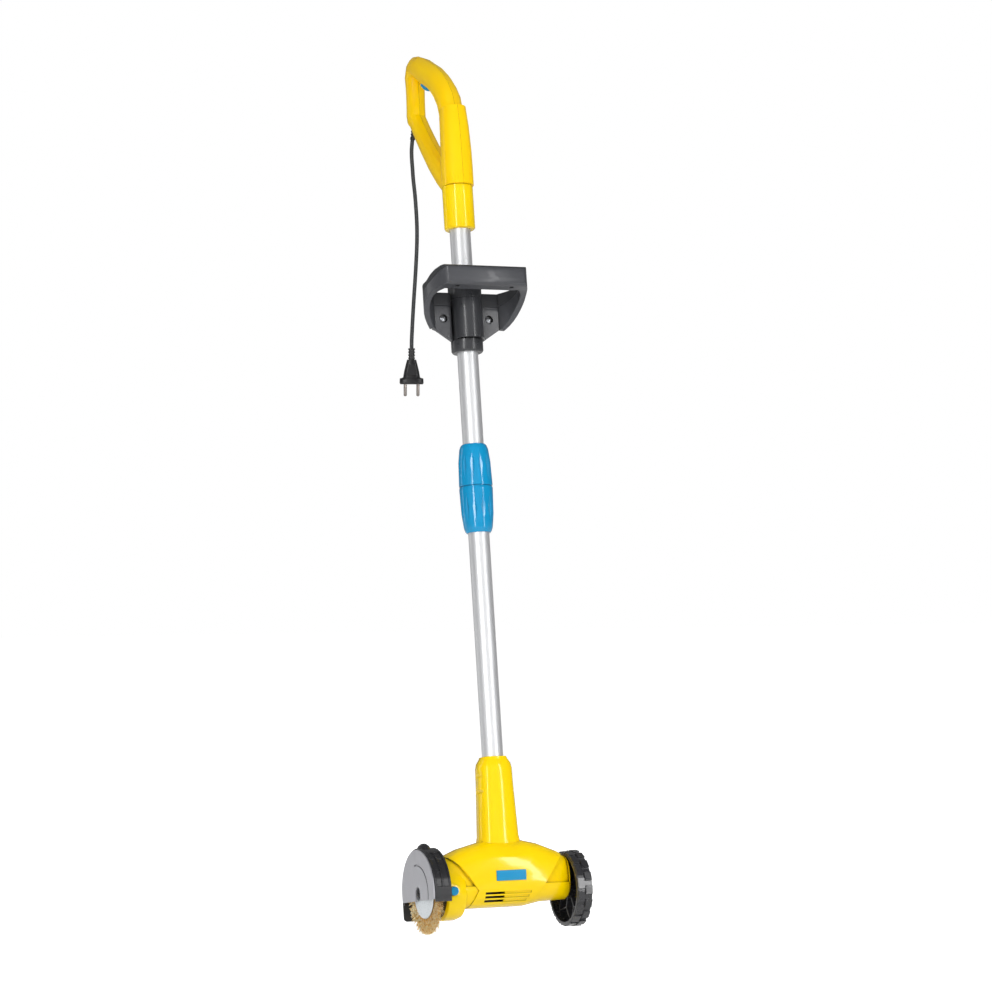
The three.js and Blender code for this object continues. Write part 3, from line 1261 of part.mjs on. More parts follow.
function buildCord() {
  const cordRadius = cordDiameter / 2;
  const ribs = 4;
  const profile = [[0, reliefRoot], [reliefDiameter / 2, reliefRoot], [reliefDiameter / 2, -2]];
  for (let i = 0; i < ribs; i++) {
    const radius = (reliefDiameter + ((reliefTipDiameter - reliefDiameter) * (i + 1)) / ribs) / 2;
    const top = -2 - ((reliefLength - 4) * i) / ribs;
    const low = -2 - ((reliefLength - 4) * (i + 0.6)) / ribs;
    profile.push([radius - 0.8, top], [radius - 0.8, low], [radius, low]);
  }
  profile.push([reliefTipDiameter / 2, -reliefLength + clearance], [0, -reliefLength + clearance]);
  place('strain_relief', roundZ(profile, smallFacets).rotate([reliefTiltDegrees, 0, 0]), blackRubber(), hanging);

  const line = new THREE.CatmullRomCurve3(cordRoute.map((p) => new THREE.Vector3(...p)), false, 'centripetal');
  const section = outline(roundedSection(cordRadius, cordRadius, 2, 8));
  const cord = new THREE.ExtrudeGeometry(section, { steps: 26, bevelEnabled: false, extrudePath: line });
  place('mains_cord', solid(cord), blackRubber(), hanging);

  const [endX, endY, endZ] = cordRoute[cordRoute.length - 1];
  const top = -clearance;
  const boot = [[0, top], [plugBootDiameter / 2, top]];
  const rings = 4;
  for (let i = 0; i < rings; i++) {
    const low = top - (plugBootLength * (i + 0.55)) / rings;
    const next = top - (plugBootLength * (i + 1)) / rings;
    boot.push([plugBootDiameter / 2, low], [plugBootDiameter / 2 - 1, low], [plugBootDiameter / 2 - 1, next],
      [plugBootDiameter / 2, next]);
  }
  boot.push([0, top - plugBootLength - 0.01]);
  const neckZ = top - plugBootLength + 1;
  const face = neckZ - plugHeight;
  const rimTop = face + plugRimHeight;
  const half = plugWidth / 2;
  const thick = plugThickness / 2;
  const levels = [
    [neckZ, 0.38, 0.72], [neckZ - 6, 0.47, 0.82], [neckZ - 17, 0.62, 0.9], [rimTop + 1.5, 0.71, 0.94],
    [rimTop, 0.98, 1], [face + 2, 1, 1], [face, 0.95, 0.92],
  ];
  const body = solid(loftRings(levels.map(([z, widthShare, thickShare]) =>
    roundedSection(half * widthShare, thick * thickShare, 3, 16).map(([u, v]) => new THREE.Vector3(u, v, z)))));
  const grip = prismY(outline([[-4, neckZ - 8], [4, neckZ - 8], [7, rimTop + 4], [-7, rimTop + 4]]), -thick * 2, thick * 2)
    .subtract(block(-half, half, -thick * 0.72, thick * 0.72, face, neckZ));
  const pins = bothSides((side) => roundZ(pin(plugPinDiameter / 2 + clearance, face - overrun,
    face + plugPinDepth + clearance), smallFacets).translate([side * plugPinSpacing / 2, 0, 0]));
  const seated = (shape) => shape.rotate([0, 0, plugTurnDegrees]).translate([endX, endY, endZ]);
  place('plug_body', seated(cut(join(roundZ(boot, 10), body), grip, ...pins)), blackRubber(), hanging);
  bothSides((side) => {
    const end = face - plugPinLength;
    const rod = roundZ([[0, end], [plugPinDiameter / 2 - 1, end], [plugPinDiameter / 2, end + 1.4],
      [plugPinDiameter / 2, face + plugPinDepth], [0, face + plugPinDepth]], smallFacets);
    place(`plug_pin_${side < 0 ? 'left' : 'right'}`, seated(rod.translate([side * plugPinSpacing / 2, 0, 0])),
      steel(), hanging);
  });
}

buildHandle();
buildTrigger();
buildSecondHandle();
buildTwistLock();
buildHousing();
buildDrive();
buildBrush();
buildGuard();
buildWheel();
buildButton();
buildCord();

const leanAngle = -leanDegrees * Math.PI / 180;
const leaned = (x, y, z) => new THREE.Vector3(x, y, z).applyAxisAngle(new THREE.Vector3(1, 0, 0), leanAngle);
const held = leaned(0, gripCentreY, gripCentreZ);
tool.rotation.x = leanAngle;
tool.position.copy(held).negate();
hanging.position.copy(leaned(0, cordExitY, cordExitZ)).sub(held);
model.add(tool, hanging);

export default model;
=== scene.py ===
"""Blender scene of an electric joint brush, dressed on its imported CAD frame."""
import json
import math
import random

import bmesh
import bpy
from mathutils import Matrix, Vector


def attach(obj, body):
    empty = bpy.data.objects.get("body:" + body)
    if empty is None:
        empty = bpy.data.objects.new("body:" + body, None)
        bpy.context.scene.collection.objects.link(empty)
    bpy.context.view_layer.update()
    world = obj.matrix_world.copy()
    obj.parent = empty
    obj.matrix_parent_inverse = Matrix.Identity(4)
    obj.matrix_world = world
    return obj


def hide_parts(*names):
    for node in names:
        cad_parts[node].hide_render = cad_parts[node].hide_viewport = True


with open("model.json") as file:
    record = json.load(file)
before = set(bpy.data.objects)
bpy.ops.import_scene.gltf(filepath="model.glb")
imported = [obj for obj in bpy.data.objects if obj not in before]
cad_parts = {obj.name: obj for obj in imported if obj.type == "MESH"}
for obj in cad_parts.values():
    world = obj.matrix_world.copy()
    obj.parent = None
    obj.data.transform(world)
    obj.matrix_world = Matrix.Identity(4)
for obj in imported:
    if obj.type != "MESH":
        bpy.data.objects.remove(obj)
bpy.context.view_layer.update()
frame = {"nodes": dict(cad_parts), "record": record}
nodes = frame["nodes"]

MM = 0.001

# The tool is drawn along its tube, and leans back about its grip
LEAN = math.radians(9.15)
GRIP = Vector((0, 96, 1207)) * MM
TUBE = Matrix.Rotation(-LEAN, 4, "X") @ Matrix.Translation(-GRIP)
CORD_EXIT = TUBE @ Vector((0, 0.149, 1.140))

# Camera: level, in front and to the left, with a long lens. Lens and sensor are in millimetres
CAMERA_AZIMUTH = math.radians(23)
CAMERA_PLACE = (-1.6269, -4.1022, -0.6743)
CAMERA_LENS = 108.4
CAMERA_SENSOR = 36
CAMERA_SHIFT = 0.0323
CAMERA_REACH = 50

# Brush, with its angles in radians
BRUSH_X = -110 * MM
BRUSH_RADIUS = 57 * MM
BRUSH_HUB = 34 * MM
BRUSH_WIDTH = 9 * MM
BRUSH_SEED = 7
WIRE_COUNT = 2200
WIRE_SIDES = 3
WIRE_STEPS = 12
WIRE_RADIUS = 0.3 * MM
WIRE_ROOT_DEPTH = 1 * MM
WIRE_ROOT = BRUSH_HUB - WIRE_ROOT_DEPTH
WIRE_ROOT_SPREAD_SHARE = 0.3
WIRE_LEAN = 0.055
WIRE_UNEVENNESS = 6 * MM
WIRE_SPLAY_SHARES = (-0.75, 0.25)
WIRE_SMOOTH_BELOW = math.radians(80)
TUFT_COUNT = 76
TUFT_SPREAD_SHARE = 0.35
CRIMP = 0.6 * MM
CRIMP_PITCH = 2.1 * MM
CRIMP_SIDEWAYS_SHARE = 0.5
CORE_HALF_WIDTH = 0.36 * BRUSH_WIDTH
CORE_EDGE = 0.76 * BRUSH_RADIUS
CORE_RIM = 0.8 * BRUSH_RADIUS
CORE_SEGMENTS = 160
CORE_SMOOTH_BELOW = math.radians(35)

# Mains cord: its route is in millimetres from where it leaves the grip
CORD_DIAMETER = 5.8 * MM
CORD_ROUNDNESS = 5
CORD_SMOOTHNESS = 6
CORD_ROUTE = (
    (0, 7.9, -20.5), (0.1, 10.4, -28), (0.4, 12.6, -37), (1.2, 13.8, -48), (2.4, 14, -62), (3.6, 14, -78),
    (6.2, 14, -100), (8, 14, -121), (9.3, 14, -142), (9.7, 14, -160), (9.4, 14, -178), (8.4, 14, -200),
    (6.9, 14, -225), (5, 14, -252), (3.2, 14, -280), (1.8, 14, -305), (1.1, 14, -320), (1, 14, -331),
)

# Shading of the CAD nodes
JOIN_DISTANCE = 0.01 * MM
NODE_SMOOTH_BELOW = math.radians(34)

# Noises that make the surfaces uneven, and the stretch of its values that a noise is spread over
TONE_NOISE = {"scale": 9}
HANDLING_NOISE = {"scale": 60, "detail": 5, "roughness": 0.6}
GRAIN_NOISE = {"scale": 1400}
FLOW_NOISE = {"scale": 18, "detail": 2}
LINES_NOISE = {"scale": 900, "detail": 4, "roughness": 0.7}
TUFT_NOISE = {"scale": 260, "roughness": 0.7}
CRIMP_NOISE = {"scale": 2500, "detail": 2}
NOISE_STRETCH = (0.3, 0.7)
LINES_STRETCH = (0.25, 0.75)

# What the surfaces of a kind share
ROUGHNESS_SHARES = (0.85, 1.2)
GRAIN_DEPTH = 0.25 * MM
FLOW_DEPTH = 1 * MM
FLOW_STRENGTH = 0.05
LINES_DEPTH = 0.1 * MM
CRIMP_DEPTH = 0.1 * MM
CRIMP_STRENGTH = 0.3
COAT_ROUGHNESS = 0.08
GLOW_DEPTH = 3 * MM
GLOW_SHARES = (1, 0.7, 0.1)
EDGE_SAMPLES = 6
RECESS_SAMPLES = 8
# Wire tones vary at random by tuft; the near-white lightest tone is a painted highlight
WIRE_TONES_AND_HIGHLIGHTS = ((0.38, (190, 142, 66)), (0.47, (253, 216, 130)), (0.57, (255, 250, 222)))
WIRE_ROUGHNESS = (0.28, 0.45)
WIRE_METALLIC = 0.3

# How round the edges look
METAL_EDGE = 0.3 * MM
PLASTIC_EDGE = 0.8 * MM
GUARD_EDGE = 1.2 * MM
GRIP_EDGE = 1.5 * MM
BOW_EDGE = 2 * MM

# How wide the recesses are that get painted shade
CRACK = 3 * MM
SEAM = 4 * MM
GROOVE = 6 * MM
SHALLOW_HOLLOW = 20 * MM
HOLLOW = 30 * MM
DEEP_HOLLOW = 40 * MM

# A mix node's sockets for colours, by number, because its other sockets have the same names
MIX_FIRST = 6
MIX_SECOND = 7
MIX_RESULT = 2

# Studio: the floor lies just below the lowest place of the head, with the lower tube pulled out
FLOOR_Z = -1.39
FLOOR_SIZE = 30
FLOOR_TONE = 0.85
FLOOR_ROUGHNESS = 0.9
FLOOR_LIFT = 0.68
WORLD_FOR_DIFFUSE = 0.42
WORLD_REFLECTED = ((0, 0.16), (0.4, 0.1), (0.7, 0.18), (0.9, 0.4), (1, 0.75))
TOWARDS_CAMERA = (-0.385, -0.923, 0)
LAMP_AIM = (0, -0.2, -0.62)
# Each lamp has a name, a place, a width and height, a power, and whether it shows in reflections
LAMPS = (
    ("front", (0.5, -3.3, 0.6), (1.5, 1.5), 27, False),
    ("left", (-2.9, -1.2, 0.1), (1.2, 1.6), 14, False),
    ("top", (-0.3, -1.0, 1.9), (1.2, 1.2), 7, False),
    ("back", (0.9, 2.4, 0.9), (1.2, 1.2), 21, False),
    ("near_strip", (-2.0, -2.2, -0.3), (0.3, 2.4), 26, True),
    ("right_strip", (1.3, -2.7, -0.3), (0.2, 2.4), 19, True),
    ("far_strip", (-2.2, 2.0, -0.3), (0.3, 2.4), 5, True),
)


def camera():
    """The photograph's camera."""
    data = bpy.data.cameras.new("camera")
    data.sensor_width = CAMERA_SENSOR
    data.lens = CAMERA_LENS
    data.shift_y = CAMERA_SHIFT
    data.clip_end = CAMERA_REACH
    shot = bpy.data.objects.new("camera", data)
    shot.location = CAMERA_PLACE
    shot.rotation_euler = (math.pi / 2, 0, -CAMERA_AZIMUTH)
    bpy.context.scene.collection.objects.link(shot)
    bpy.context.scene.camera = shot


# Colours


def linear(red, green, blue):
    """An sRGB colour of 0 to 255 as linear values."""
    values = []
    for value in (red, green, blue):
        share = value / 255
        values.append(share / 12.92 if share <= 0.04045 else ((share + 0.055) / 1.055) ** 2.4)
    return (*values, 1)


def grey(value):
    """A neutral colour."""
    return (value, value, value, 1)


def shade(colour, factor):
    """The colour, darker or lighter."""
    return tuple(min(1, channel * factor) for channel in colour[:3]) + (1,)


# Node helpers


def new_material(name):
    """A new material, its node tree and its principled shader."""
    material = bpy.data.materials.new(name)
    material.use_nodes = True
    return material, material.node_tree, material.node_tree.nodes["Principled BSDF"]


def feed(node_tree, value, socket):
    """Links a socket to this one, or sets this one to a plain value."""
    if isinstance(value, bpy.types.NodeSocket):
        node_tree.links.new(value, socket)
    else:
        socket.default_value = value


def placed(node_tree, scale=(1, 1, 1), along_tool=False):
    """Object coordinates, scaled, and turned to run along the tool where that is asked for."""
    coordinates = node_tree.nodes.new("ShaderNodeTexCoord")
    place = coordinates.outputs["Object"]
    if along_tool:
        turn = node_tree.nodes.new("ShaderNodeMapping")
        turn.inputs["Rotation"].default_value = (LEAN, 0, 0)
        node_tree.links.new(place, turn.inputs["Vector"])
        place = turn.outputs["Vector"]
    mapping = node_tree.nodes.new("ShaderNodeMapping")
    mapping.inputs["Scale"].default_value = scale
    node_tree.links.new(place, mapping.inputs["Vector"])
    return mapping.outputs["Vector"]


def noise(node_tree, vector, scale, detail=3, roughness=0.5):
    """Noise over a vector."""
    texture = node_tree.nodes.new("ShaderNodeTexNoise")
    texture.inputs["Scale"].default_value = scale
    texture.inputs["Detail"].default_value = detail
    texture.inputs["Roughness"].default_value = roughness
    node_tree.links.new(vector, texture.inputs["Vector"])
    return texture.outputs["Fac"]


def ramp(node_tree, value, stops):
    """A colour ramp: stops are (place, colour), in order."""
    node = node_tree.nodes.new("ShaderNodeValToRGB")
    elements = node.color_ramp.elements
    last_place = stops[-1][0]
    while len(elements) < len(stops):
        elements.new(last_place)
    for element, (place, colour) in zip(elements, stops):
        element.position = place
        element.color = colour
    node_tree.links.new(value, node.inputs["Fac"])
    return node.outputs["Color"]


def uneven(node_tree, value, stretch, colour, variation):
    """The colour, darker where a noise is low and lighter where it is high."""
    low, high = stretch
    stops = [(low, shade(colour, 1 - variation)), (high, shade(colour, 1 + variation))]
    return ramp(node_tree, value, stops)


def spread(node_tree, value, low, high):
    """A noise as a value from low to high."""
    node = node_tree.nodes.new("ShaderNodeMapRange")
    noise_low, noise_high = NOISE_STRETCH
    node.inputs["From Min"].default_value = noise_low
    node.inputs["From Max"].default_value = noise_high
    node.inputs["To Min"].default_value = low
    node.inputs["To Max"].default_value = high
    node_tree.links.new(value, node.inputs["Value"])
    return node.outputs["Result"]


def worn(node_tree, value, roughness):
    """The roughness, made uneven by a noise."""
    smoothest, roughest = ROUGHNESS_SHARES
    return spread(node_tree, value, roughness * smoothest, roughness * roughest)


def mixed(node_tree, factor, first, second, blend="MIX"):
    """Two colours mixed by a factor: each of the three is a socket or a plain value."""
    node = node_tree.nodes.new("ShaderNodeMix")
    node.data_type = "RGBA"
    node.blend_type = blend
    feed(node_tree, factor, node.inputs["Factor"])
    feed(node_tree, first, node.inputs[MIX_FIRST])
    feed(node_tree, second, node.inputs[MIX_SECOND])
    return node.outputs[MIX_RESULT]


def bump(node_tree, height, strength, distance, soft_edge=0):
    """A bump from a height, over edges that look rounded by soft_edge."""
    node = node_tree.nodes.new("ShaderNodeBump")
    node.inputs["Strength"].default_value = strength
    node.inputs["Distance"].default_value = distance
    node_tree.links.new(height, node.inputs["Height"])
    if soft_edge:
        edge = node_tree.nodes.new("ShaderNodeBevel")
        edge.samples = EDGE_SAMPLES
        edge.inputs["Radius"].default_value = soft_edge
        node_tree.links.new(edge.outputs["Normal"], node.inputs["Normal"])
    return node.outputs["Normal"]


def surface(node_tree, shader, tone, roughness, relief):
    """Links to the shader what varies over a surface."""
    node_tree.links.new(tone, shader.inputs["Base Color"])
    node_tree.links.new(roughness, shader.inputs["Roughness"])
    node_tree.links.new(relief, shader.inputs["Normal"])


# Materials


def plastic(name, colour, roughness, grain=0, variation=0.05, coat=0, specular=0.5, glow=0,
            soft_edge=PLASTIC_EDGE):
    """Moulded plastic: a slightly uneven colour, handling marks in its gloss, and grain or flow as bump."""
    material, node_tree, shader = new_material(name)
    vector = placed(node_tree)
    clouds = noise(node_tree, vector, **TONE_NOISE)
    marks = noise(node_tree, vector, **HANDLING_NOISE)
    if grain:
        relief = bump(node_tree, noise(node_tree, vector, **GRAIN_NOISE), grain, GRAIN_DEPTH, soft_edge)
    else:
        relief = bump(node_tree, noise(node_tree, vector, **FLOW_NOISE), FLOW_STRENGTH, FLOW_DEPTH, soft_edge)
    surface(
        node_tree, shader,
        tone=uneven(node_tree, clouds, NOISE_STRETCH, colour, variation),
        roughness=worn(node_tree, marks, roughness),
        relief=relief,
    )
    shader.inputs["Coat Weight"].default_value = coat
    shader.inputs["Coat Roughness"].default_value = COAT_ROUGHNESS
    shader.inputs["Specular IOR Level"].default_value = specular
    shader.inputs["Subsurface Weight"].default_value = glow
    shader.inputs["Subsurface Scale"].default_value = GLOW_DEPTH
    shader.inputs["Subsurface Radius"].default_value = GLOW_SHARES
    return material


def metal(name, colour, roughness, stretch=(1, 1, 1), along_tool=False, marks=0.12, variation=0.08,
          metallic=1):
    """Metal with brushing or drawing lines along its working direction."""
    material, node_tree, shader = new_material(name)
    lines = noise(node_tree, placed(node_tree, stretch, along_tool), **LINES_NOISE)
    surface(
        node_tree, shader,
        tone=uneven(node_tree, lines, LINES_STRETCH, colour, variation),
        roughness=worn(node_tree, lines, roughness),
        relief=bump(node_tree, lines, marks, LINES_DEPTH, METAL_EDGE),
    )
    shader.inputs["Metallic"].default_value = metallic
    return material


def wire_brass():
    """Crimped brass wire, light and dark from one tuft to the next, its lightest tufts near white as a
    painted highlight.
    """
    material, node_tree, shader = new_material("brass_wire")
    vector = placed(node_tree)
    tufts = noise(node_tree, vector, **TUFT_NOISE)
    crimps = noise(node_tree, vector, **CRIMP_NOISE)
    surface(
        node_tree, shader,
        tone=ramp(node_tree, tufts, [(place, linear(*tone)) for place, tone in WIRE_TONES_AND_HIGHLIGHTS]),
        roughness=spread(node_tree, tufts, *WIRE_ROUGHNESS),
        relief=bump(node_tree, crimps, CRIMP_STRENGTH, CRIMP_DEPTH),
    )
    shader.inputs["Metallic"].default_value = WIRE_METALLIC
    return material


def paint_recess_shade(material, recess, darkest=0.05, dark_until=0.12, clear_from=0.42):
    """Paints shade into the recesses of a material: the colour is darkened where an ambient occlusion node
    finds it closed in.
    """
    node_tree = material.node_tree
    base = node_tree.nodes["Principled BSDF"].inputs["Base Color"]
    tone = base.links[0].from_socket
    openness = node_tree.nodes.new("ShaderNodeAmbientOcclusion")
    openness.samples = RECESS_SAMPLES
    openness.inputs["Distance"].default_value = recess
    dark = ramp(node_tree, openness.outputs["AO"], [(dark_until, grey(darkest)), (clear_from, grey(1))])
    node_tree.links.new(mixed(node_tree, 1, tone, dark, "MULTIPLY"), base)


# Yellow and blue mouldings
# Painted shade darkens the hollows and seams of the mouldings below
YELLOW = plastic("yellow_gloss", linear(255, 213, 0), roughness=0.18, coat=0.5, specular=0.12, glow=0.12)
paint_recess_shade(YELLOW, HOLLOW)
paint_recess_shade(YELLOW, SEAM, darkest=0.6, dark_until=0.35, clear_from=0.85)
YELLOW_SATIN = plastic("yellow_satin", linear(255, 206, 0), roughness=0.34, coat=0.35, specular=0.12,
                       glow=0.12)
paint_recess_shade(YELLOW_SATIN, SHALLOW_HOLLOW)
BLUE = plastic("blue_gloss", linear(0, 144, 196), roughness=0.22, coat=0.9, specular=0.12)
paint_recess_shade(BLUE, SEAM, darkest=0.35, dark_until=0.3, clear_from=0.8)

# Black mouldings
# Painted shade darkens the hollows, grooves and recesses of the black mouldings below
GRIP_SMOOTH = plastic("grip_smooth", linear(50, 51, 54), roughness=0.3, coat=0.25, soft_edge=GRIP_EDGE)
paint_recess_shade(GRIP_SMOOTH, HOLLOW, darkest=0.1, dark_until=0.3, clear_from=0.95)
GRIP_GRAIN = plastic("grip_grain", linear(48, 49, 52), roughness=0.46, grain=0.4, soft_edge=GRIP_EDGE)
paint_recess_shade(GRIP_GRAIN, GROOVE, darkest=0.1, dark_until=0.2, clear_from=0.7)
# The smooth lower shell is lighter than the other grip plastics: partly its own satin tone, partly a painted
# sheen of the lit front of the bar
GRIP_SATIN_AND_SHEEN = plastic("grip_satin_and_sheen", linear(69, 70, 74), roughness=0.34, coat=0.15, soft_edge=BOW_EDGE)
paint_recess_shade(GRIP_SATIN_AND_SHEEN, DEEP_HOLLOW, darkest=0.1, dark_until=0.3, clear_from=0.95)
GUARD = plastic("guard_black", linear(40, 40, 42), roughness=0.24, coat=0.4, soft_edge=GUARD_EDGE)
paint_recess_shade(GUARD, GROOVE, darkest=0.1, dark_until=0.2, clear_from=0.7)
WHEEL = plastic("wheel_black", linear(44, 44, 47), roughness=0.28, grain=0.1, coat=0.5)
INNER = plastic("inner_black", linear(44, 44, 46), roughness=0.5)

# Rubber
RUBBER = plastic("cord_rubber", linear(48, 50, 52), roughness=0.45, grain=0.2)
PLUG = plastic("plug_rubber", linear(27, 27, 29), roughness=0.34, grain=0.1)
# Painted shade darkens the plug's cracks
paint_recess_shade(PLUG, CRACK, darkest=0.2, dark_until=0.3, clear_from=0.8)
FLAP = plastic("flap_rubber", linear(40, 40, 42), roughness=0.6, grain=0.5)

# Metals
PIN = metal("plug_pin", linear(150, 143, 138), roughness=0.35, stretch=(1, 1, 0.05))
ALUMINIUM = metal("tube_aluminium", linear(242, 243, 245), roughness=0.44, stretch=(1, 1, 0.02),
                  along_tool=True, marks=0.002, variation=0.03, metallic=0.8)
STEEL = metal("zinc_steel", linear(196, 199, 203), roughness=0.3)
PLATE = metal("plate_steel", linear(192, 192, 197), roughness=0.34, stretch=(1, 1, 0.06),
              along_tool=True, marks=0.1, variation=0.1, metallic=0.6)
# Painted shade darkens the plate's cracks and groove
paint_recess_shade(PLATE, CRACK, darkest=0.04, dark_until=0.3, clear_from=0.75)
HUB = metal("hub_zinc", linear(232, 238, 241), roughness=0.3, marks=0.01, variation=0.02, metallic=0.5)
BOLT = metal("blackened_steel", linear(66, 66, 68), roughness=0.4)
COPPER = metal("copper_winding", linear(184, 115, 51), roughness=0.35, stretch=(0.05, 1, 1))
BRASS = wire_brass()
BRASS_MATTED = metal("brass_matted", linear(212, 170, 100), roughness=0.6, marks=0.8, variation=0.3)

# A node looks as its material slot does, unless it is named for itself
SLOT_LOOKS = {
    "yellow_shell": YELLOW,
    "blue_plastic": BLUE,
    "grip_plastic": GRIP_SMOOTH,
    "inner_plastic": INNER,
    "tube": ALUMINIUM,
    "steel": STEEL,
    "bristles": BRASS,
    "winding": COPPER,
    "wheel_plastic": WHEEL,
    "cord_rubber": RUBBER,
    "flap_rubber": FLAP,
}
NODE_LOOKS = {
    "aux_grip_upper": GRIP_GRAIN,
    "aux_grip_lower": GRIP_SATIN_AND_SHEEN,
    "guard_cover": GUARD,
    "guard_plate": PLATE,
    "brush_hub_outer": HUB,
    "brush_bolt": BOLT,
    "strain_relief": PLUG,
    "plug_body": PLUG,
    "plug_pin_left": PIN,
    "plug_pin_right": PIN,
    "handle_half_left": YELLOW_SATIN,
    "handle_half_right": YELLOW_SATIN,
}


# CAD nodes


def smooth_group():
    """A geometry node group that joins split points and shades smooth all but the sharp edges."""
    group = bpy.data.node_groups.new("smooth_below_angle", "GeometryNodeTree")
    group.interface.new_socket("Geometry", in_out="INPUT", socket_type="NodeSocketGeometry")
    group.interface.new_socket("Geometry", in_out="OUTPUT", socket_type="NodeSocketGeometry")
    start = group.nodes.new("NodeGroupInput")
    end = group.nodes.new("NodeGroupOutput")
    merge = group.nodes.new("GeometryNodeMergeByDistance")
    merge.inputs["Distance"].default_value = JOIN_DISTANCE
    faces = group.nodes.new("GeometryNodeSetShadeSmooth")
    faces.domain = "FACE"
    edges = group.nodes.new("GeometryNodeSetShadeSmooth")
    edges.domain = "EDGE"
    between = group.nodes.new("GeometryNodeInputMeshEdgeAngle")
    gentle = group.nodes.new("FunctionNodeCompare")
    gentle.data_type = "FLOAT"
    gentle.operation = "LESS_THAN"
    gentle.inputs["B"].default_value = NODE_SMOOTH_BELOW
    group.links.new(between.outputs["Unsigned Angle"], gentle.inputs["A"])
    group.links.new(gentle.outputs["Result"], edges.inputs["Shade Smooth"])
    steps = (start, merge, faces, edges, end)
    for before, after in zip(steps, steps[1:]):
        group.links.new(before.outputs[0], after.inputs[0])
    return group


def dress_nodes():
    """Gives each CAD node its material, and shades its curved faces smooth."""
    group = smooth_group()
    for entry in frame["record"]["subparts"]:
        name = entry["node"]
        obj = nodes[name]
        obj.data.materials.clear()
        obj.data.materials.append(NODE_LOOKS.get(name, SLOT_LOOKS[entry["material_slot"]]))
        smooth = obj.modifiers.new("smooth", "NODES")
        smooth.node_group = group


# Mesh helpers


def piece(name, shape, material, body, smooth_below, *replaced):
    """A finished piece from a bmesh drawn along the tube, riding on a body in place of the replaced nodes."""
    mesh = bpy.data.meshes.new(name)
    shape.transform(TUBE)
    shape.to_mesh(mesh)
    shape.free()
    mesh.materials.append(material)
    obj = bpy.data.objects.new(name, mesh)
    bpy.context.scene.collection.objects.link(obj)
    mesh.shade_smooth()
    mesh.set_sharp_from_angle(angle=smooth_below)
    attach(obj, body)
    if replaced:
        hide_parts(*replaced)


def wall(shape, first, second):
    """Faces between two rings of points."""
    for step in range(len(first)):
        after = (step + 1) % len(first)
        shape.faces.new((first[step], first[after], second[after], second[step]))


def wire(shape, points):
    """A thin wire along points, with a cap at its far end."""
    rings = []
    for index, point in enumerate(points):
        ahead = points[min(index + 1, len(points) - 1)]
        behind = points[max(index - 1, 0)]
        along = (ahead - behind).normalized()
        side = along.orthogonal().normalized()
        other = along.cross(side)
        ring = []
        for step in range(WIRE_SIDES):
            turn = 2 * math.pi * step / WIRE_SIDES
            outwards = side * math.cos(turn) + other * math.sin(turn)
            ring.append(shape.verts.new(point + outwards * WIRE_RADIUS))
        rings.append(ring)
    for first, second in zip(rings, rings[1:]):
        wall(shape, first, second)
    shape.faces.new(rings[-1])


def lathe(shape, profile, segments):
    """A solid turned about the X axis: profile is a closed outline of (radius, x)."""
    rings = []
    for radius, x in profile:
        ring = []
        for step in range(segments):
            turn = 2 * math.pi * step / segments
            ring.append(shape.verts.new((x, radius * math.cos(turn), radius * math.sin(turn))))
        rings.append(ring)
    for index, first in enumerate(rings):
        wall(shape, first, rings[(index + 1) % len(rings)])
    bmesh.ops.recalc_face_normals(shape, faces=shape.faces)


# Brush


def brush_wires():
    """Crimped wires in a thick ring, set in tufts."""
    rng = random.Random(BRUSH_SEED)
    tuft_angle = 2 * math.pi / TUFT_COUNT
    shape = bmesh.new()
    for number in range(WIRE_COUNT):
        turn = (number % TUFT_COUNT + rng.gauss(0, TUFT_SPREAD_SHARE)) * tuft_angle
        lean = rng.gauss(0, WIRE_LEAN)
        x = BRUSH_X + rng.uniform(-WIRE_ROOT_SPREAD_SHARE, WIRE_ROOT_SPREAD_SHARE) * BRUSH_WIDTH
        splay = rng.uniform(*WIRE_SPLAY_SHARES) * BRUSH_WIDTH
        reach = BRUSH_RADIUS - WIRE_RADIUS - rng.random() ** 2 * WIRE_UNEVENNESS
        phase = rng.random() * 2 * math.pi
        points = []
        for step in range(WIRE_STEPS + 1):
            share = step / WIRE_STEPS
            radius = WIRE_ROOT + (reach - WIRE_ROOT) * share
            wave = math.sin(2 * math.pi * radius / CRIMP_PITCH + phase) * CRIMP
            angle = turn + lean * share + wave / radius
            points.append(Vector((
                x + splay * share + CRIMP_SIDEWAYS_SHARE * wave * math.cos(phase),
                radius * math.cos(angle),
                radius * math.sin(angle),
            )))
        wire(shape, points)
    piece("brush_wires", shape, BRASS, "brush", WIRE_SMOOTH_BELOW, "bristle_ring_1", "bristle_ring_2")


def brush_core():
    """The matted wire that the tufts grow out of, close to the hub."""
    near = BRUSH_X - CORE_HALF_WIDTH
    far = BRUSH_X + CORE_HALF_WIDTH
    profile = ((WIRE_ROOT, near), (CORE_EDGE, near), (CORE_RIM, BRUSH_X), (CORE_EDGE, far), (WIRE_ROOT, far))
    shape = bmesh.new()
    lathe(shape, profile, CORE_SEGMENTS)
    piece("brush_matted_core", shape, BRASS_MATTED, "brush", CORE_SMOOTH_BELOW)


# Mains cord


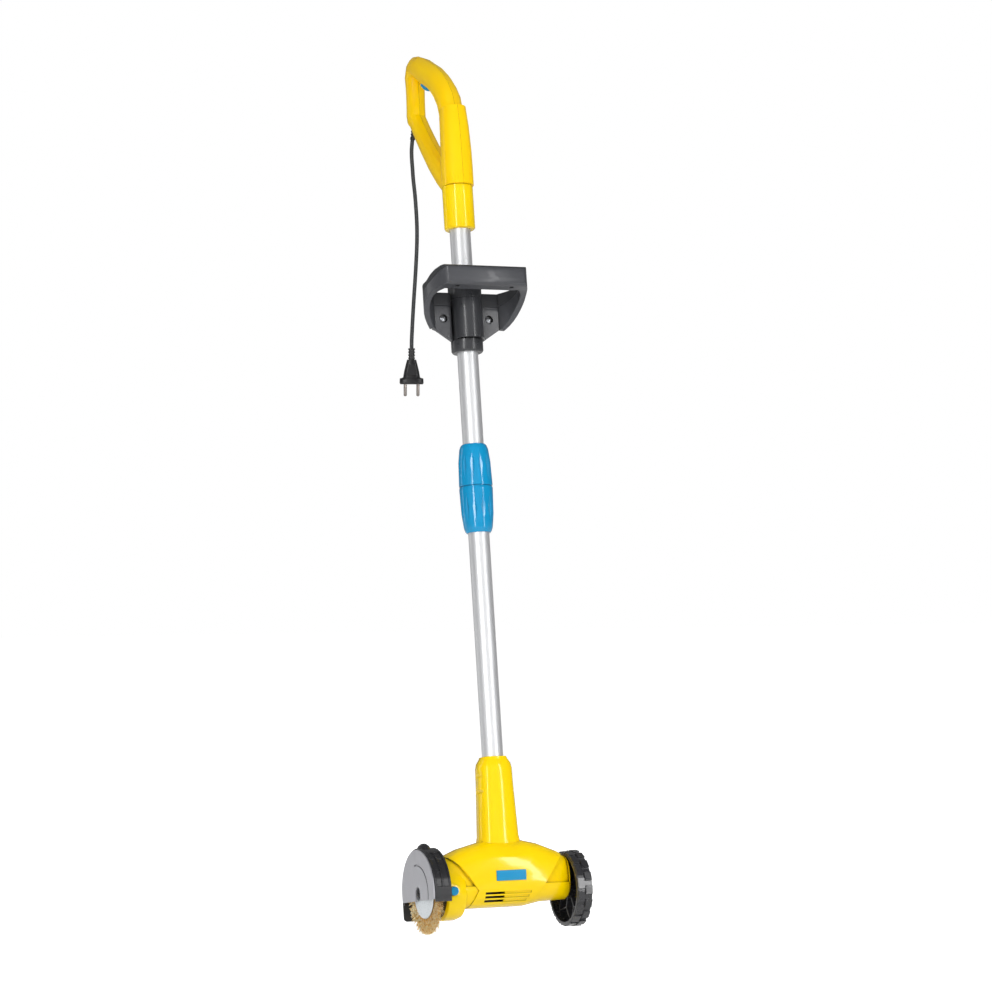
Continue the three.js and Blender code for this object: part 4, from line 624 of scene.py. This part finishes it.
def mains_cord():
    """The whole cord from its strain relief to its plug, which hangs straight down."""
    curve = bpy.data.curves.new("mains_lead", "CURVE")
    curve.dimensions = "3D"
    curve.bevel_depth = CORD_DIAMETER / 2
    curve.bevel_resolution = CORD_ROUNDNESS
    curve.resolution_u = CORD_SMOOTHNESS
    curve.use_fill_caps = True
    spline = curve.splines.new("BEZIER")
    points = [CORD_EXIT + Vector(point) * MM for point in CORD_ROUTE]
    spline.bezier_points.add(len(points) - 1)
    for target, point in zip(spline.bezier_points, points):
        target.co = point
        target.handle_left_type = "AUTO"
        target.handle_right_type = "AUTO"
    curve.materials.append(RUBBER)
    lead = bpy.data.objects.new("mains_lead", curve)
    bpy.context.scene.collection.objects.link(lead)
    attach(lead, "handle")
    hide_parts("mains_cord")


# Studio


def pale_floor():
    """A floor that looks as white as the background except where the tool shades it."""
    bpy.ops.mesh.primitive_plane_add(size=FLOOR_SIZE, location=(0, 0, FLOOR_Z))
    floor = bpy.context.object
    floor.name = "floor"
    material, node_tree, shader = new_material("floor_pale")
    shader.inputs["Base Color"].default_value = grey(FLOOR_TONE)
    shader.inputs["Roughness"].default_value = FLOOR_ROUGHNESS
    shader.inputs["Specular IOR Level"].default_value = 0
    shader.inputs["Emission Color"].default_value = grey(1)
    path = node_tree.nodes.new("ShaderNodeLightPath")
    lift = node_tree.nodes.new("ShaderNodeMath")
    lift.operation = "MULTIPLY"
    node_tree.links.new(path.outputs["Is Camera Ray"], lift.inputs[0])
    lift.inputs[1].default_value = FLOOR_LIFT
    node_tree.links.new(lift.outputs["Value"], shader.inputs["Emission Strength"])
    floor.data.materials.append(material)


def studio_world():
    """White to the camera, soft to rough surfaces, and brightest towards the camera in reflections."""
    world = bpy.data.worlds.new("studio")
    bpy.context.scene.world = world
    world.use_nodes = True
    node_tree = world.node_tree
    path = node_tree.nodes.new("ShaderNodeLightPath")
    direction = node_tree.nodes.new("ShaderNodeTexCoord")
    facing = node_tree.nodes.new("ShaderNodeVectorMath")
    facing.operation = "DOT_PRODUCT"
    facing.inputs[1].default_value = TOWARDS_CAMERA
    node_tree.links.new(direction.outputs["Generated"], facing.inputs[0])
    share = node_tree.nodes.new("ShaderNodeMapRange")
    share.inputs["From Min"].default_value = -1
    node_tree.links.new(facing.outputs["Value"], share.inputs["Value"])
    stops = [(place, grey(value)) for place, value in WORLD_REFLECTED]
    reflected = ramp(node_tree, share.outputs["Result"], stops)
    lit = mixed(node_tree, path.outputs["Is Glossy Ray"], grey(WORLD_FOR_DIFFUSE), reflected)
    seen = mixed(node_tree, path.outputs["Is Camera Ray"], lit, grey(1))
    node_tree.links.new(seen, node_tree.nodes["Background"].inputs["Color"])


def softbox(name, place, size, power, mirrored):
    """A rectangular lamp, aimed at the tool."""
    data = bpy.data.lights.new(name, "AREA")
    data.shape = "RECTANGLE"
    data.size, data.size_y = size
    data.energy = power
    lamp = bpy.data.objects.new(name, data)
    lamp.location = place
    lamp.rotation_euler = (Vector(LAMP_AIM) - Vector(place)).to_track_quat("-Z", "Y").to_euler()
    lamp.visible_glossy = mirrored
    bpy.context.scene.collection.objects.link(lamp)


camera()
dress_nodes()
brush_wires()
brush_core()
mains_cord()
pale_floor()
studio_world()
for lamp in LAMPS:
    softbox(*lamp)

bpy.context.scene.view_settings.view_transform = "Standard"
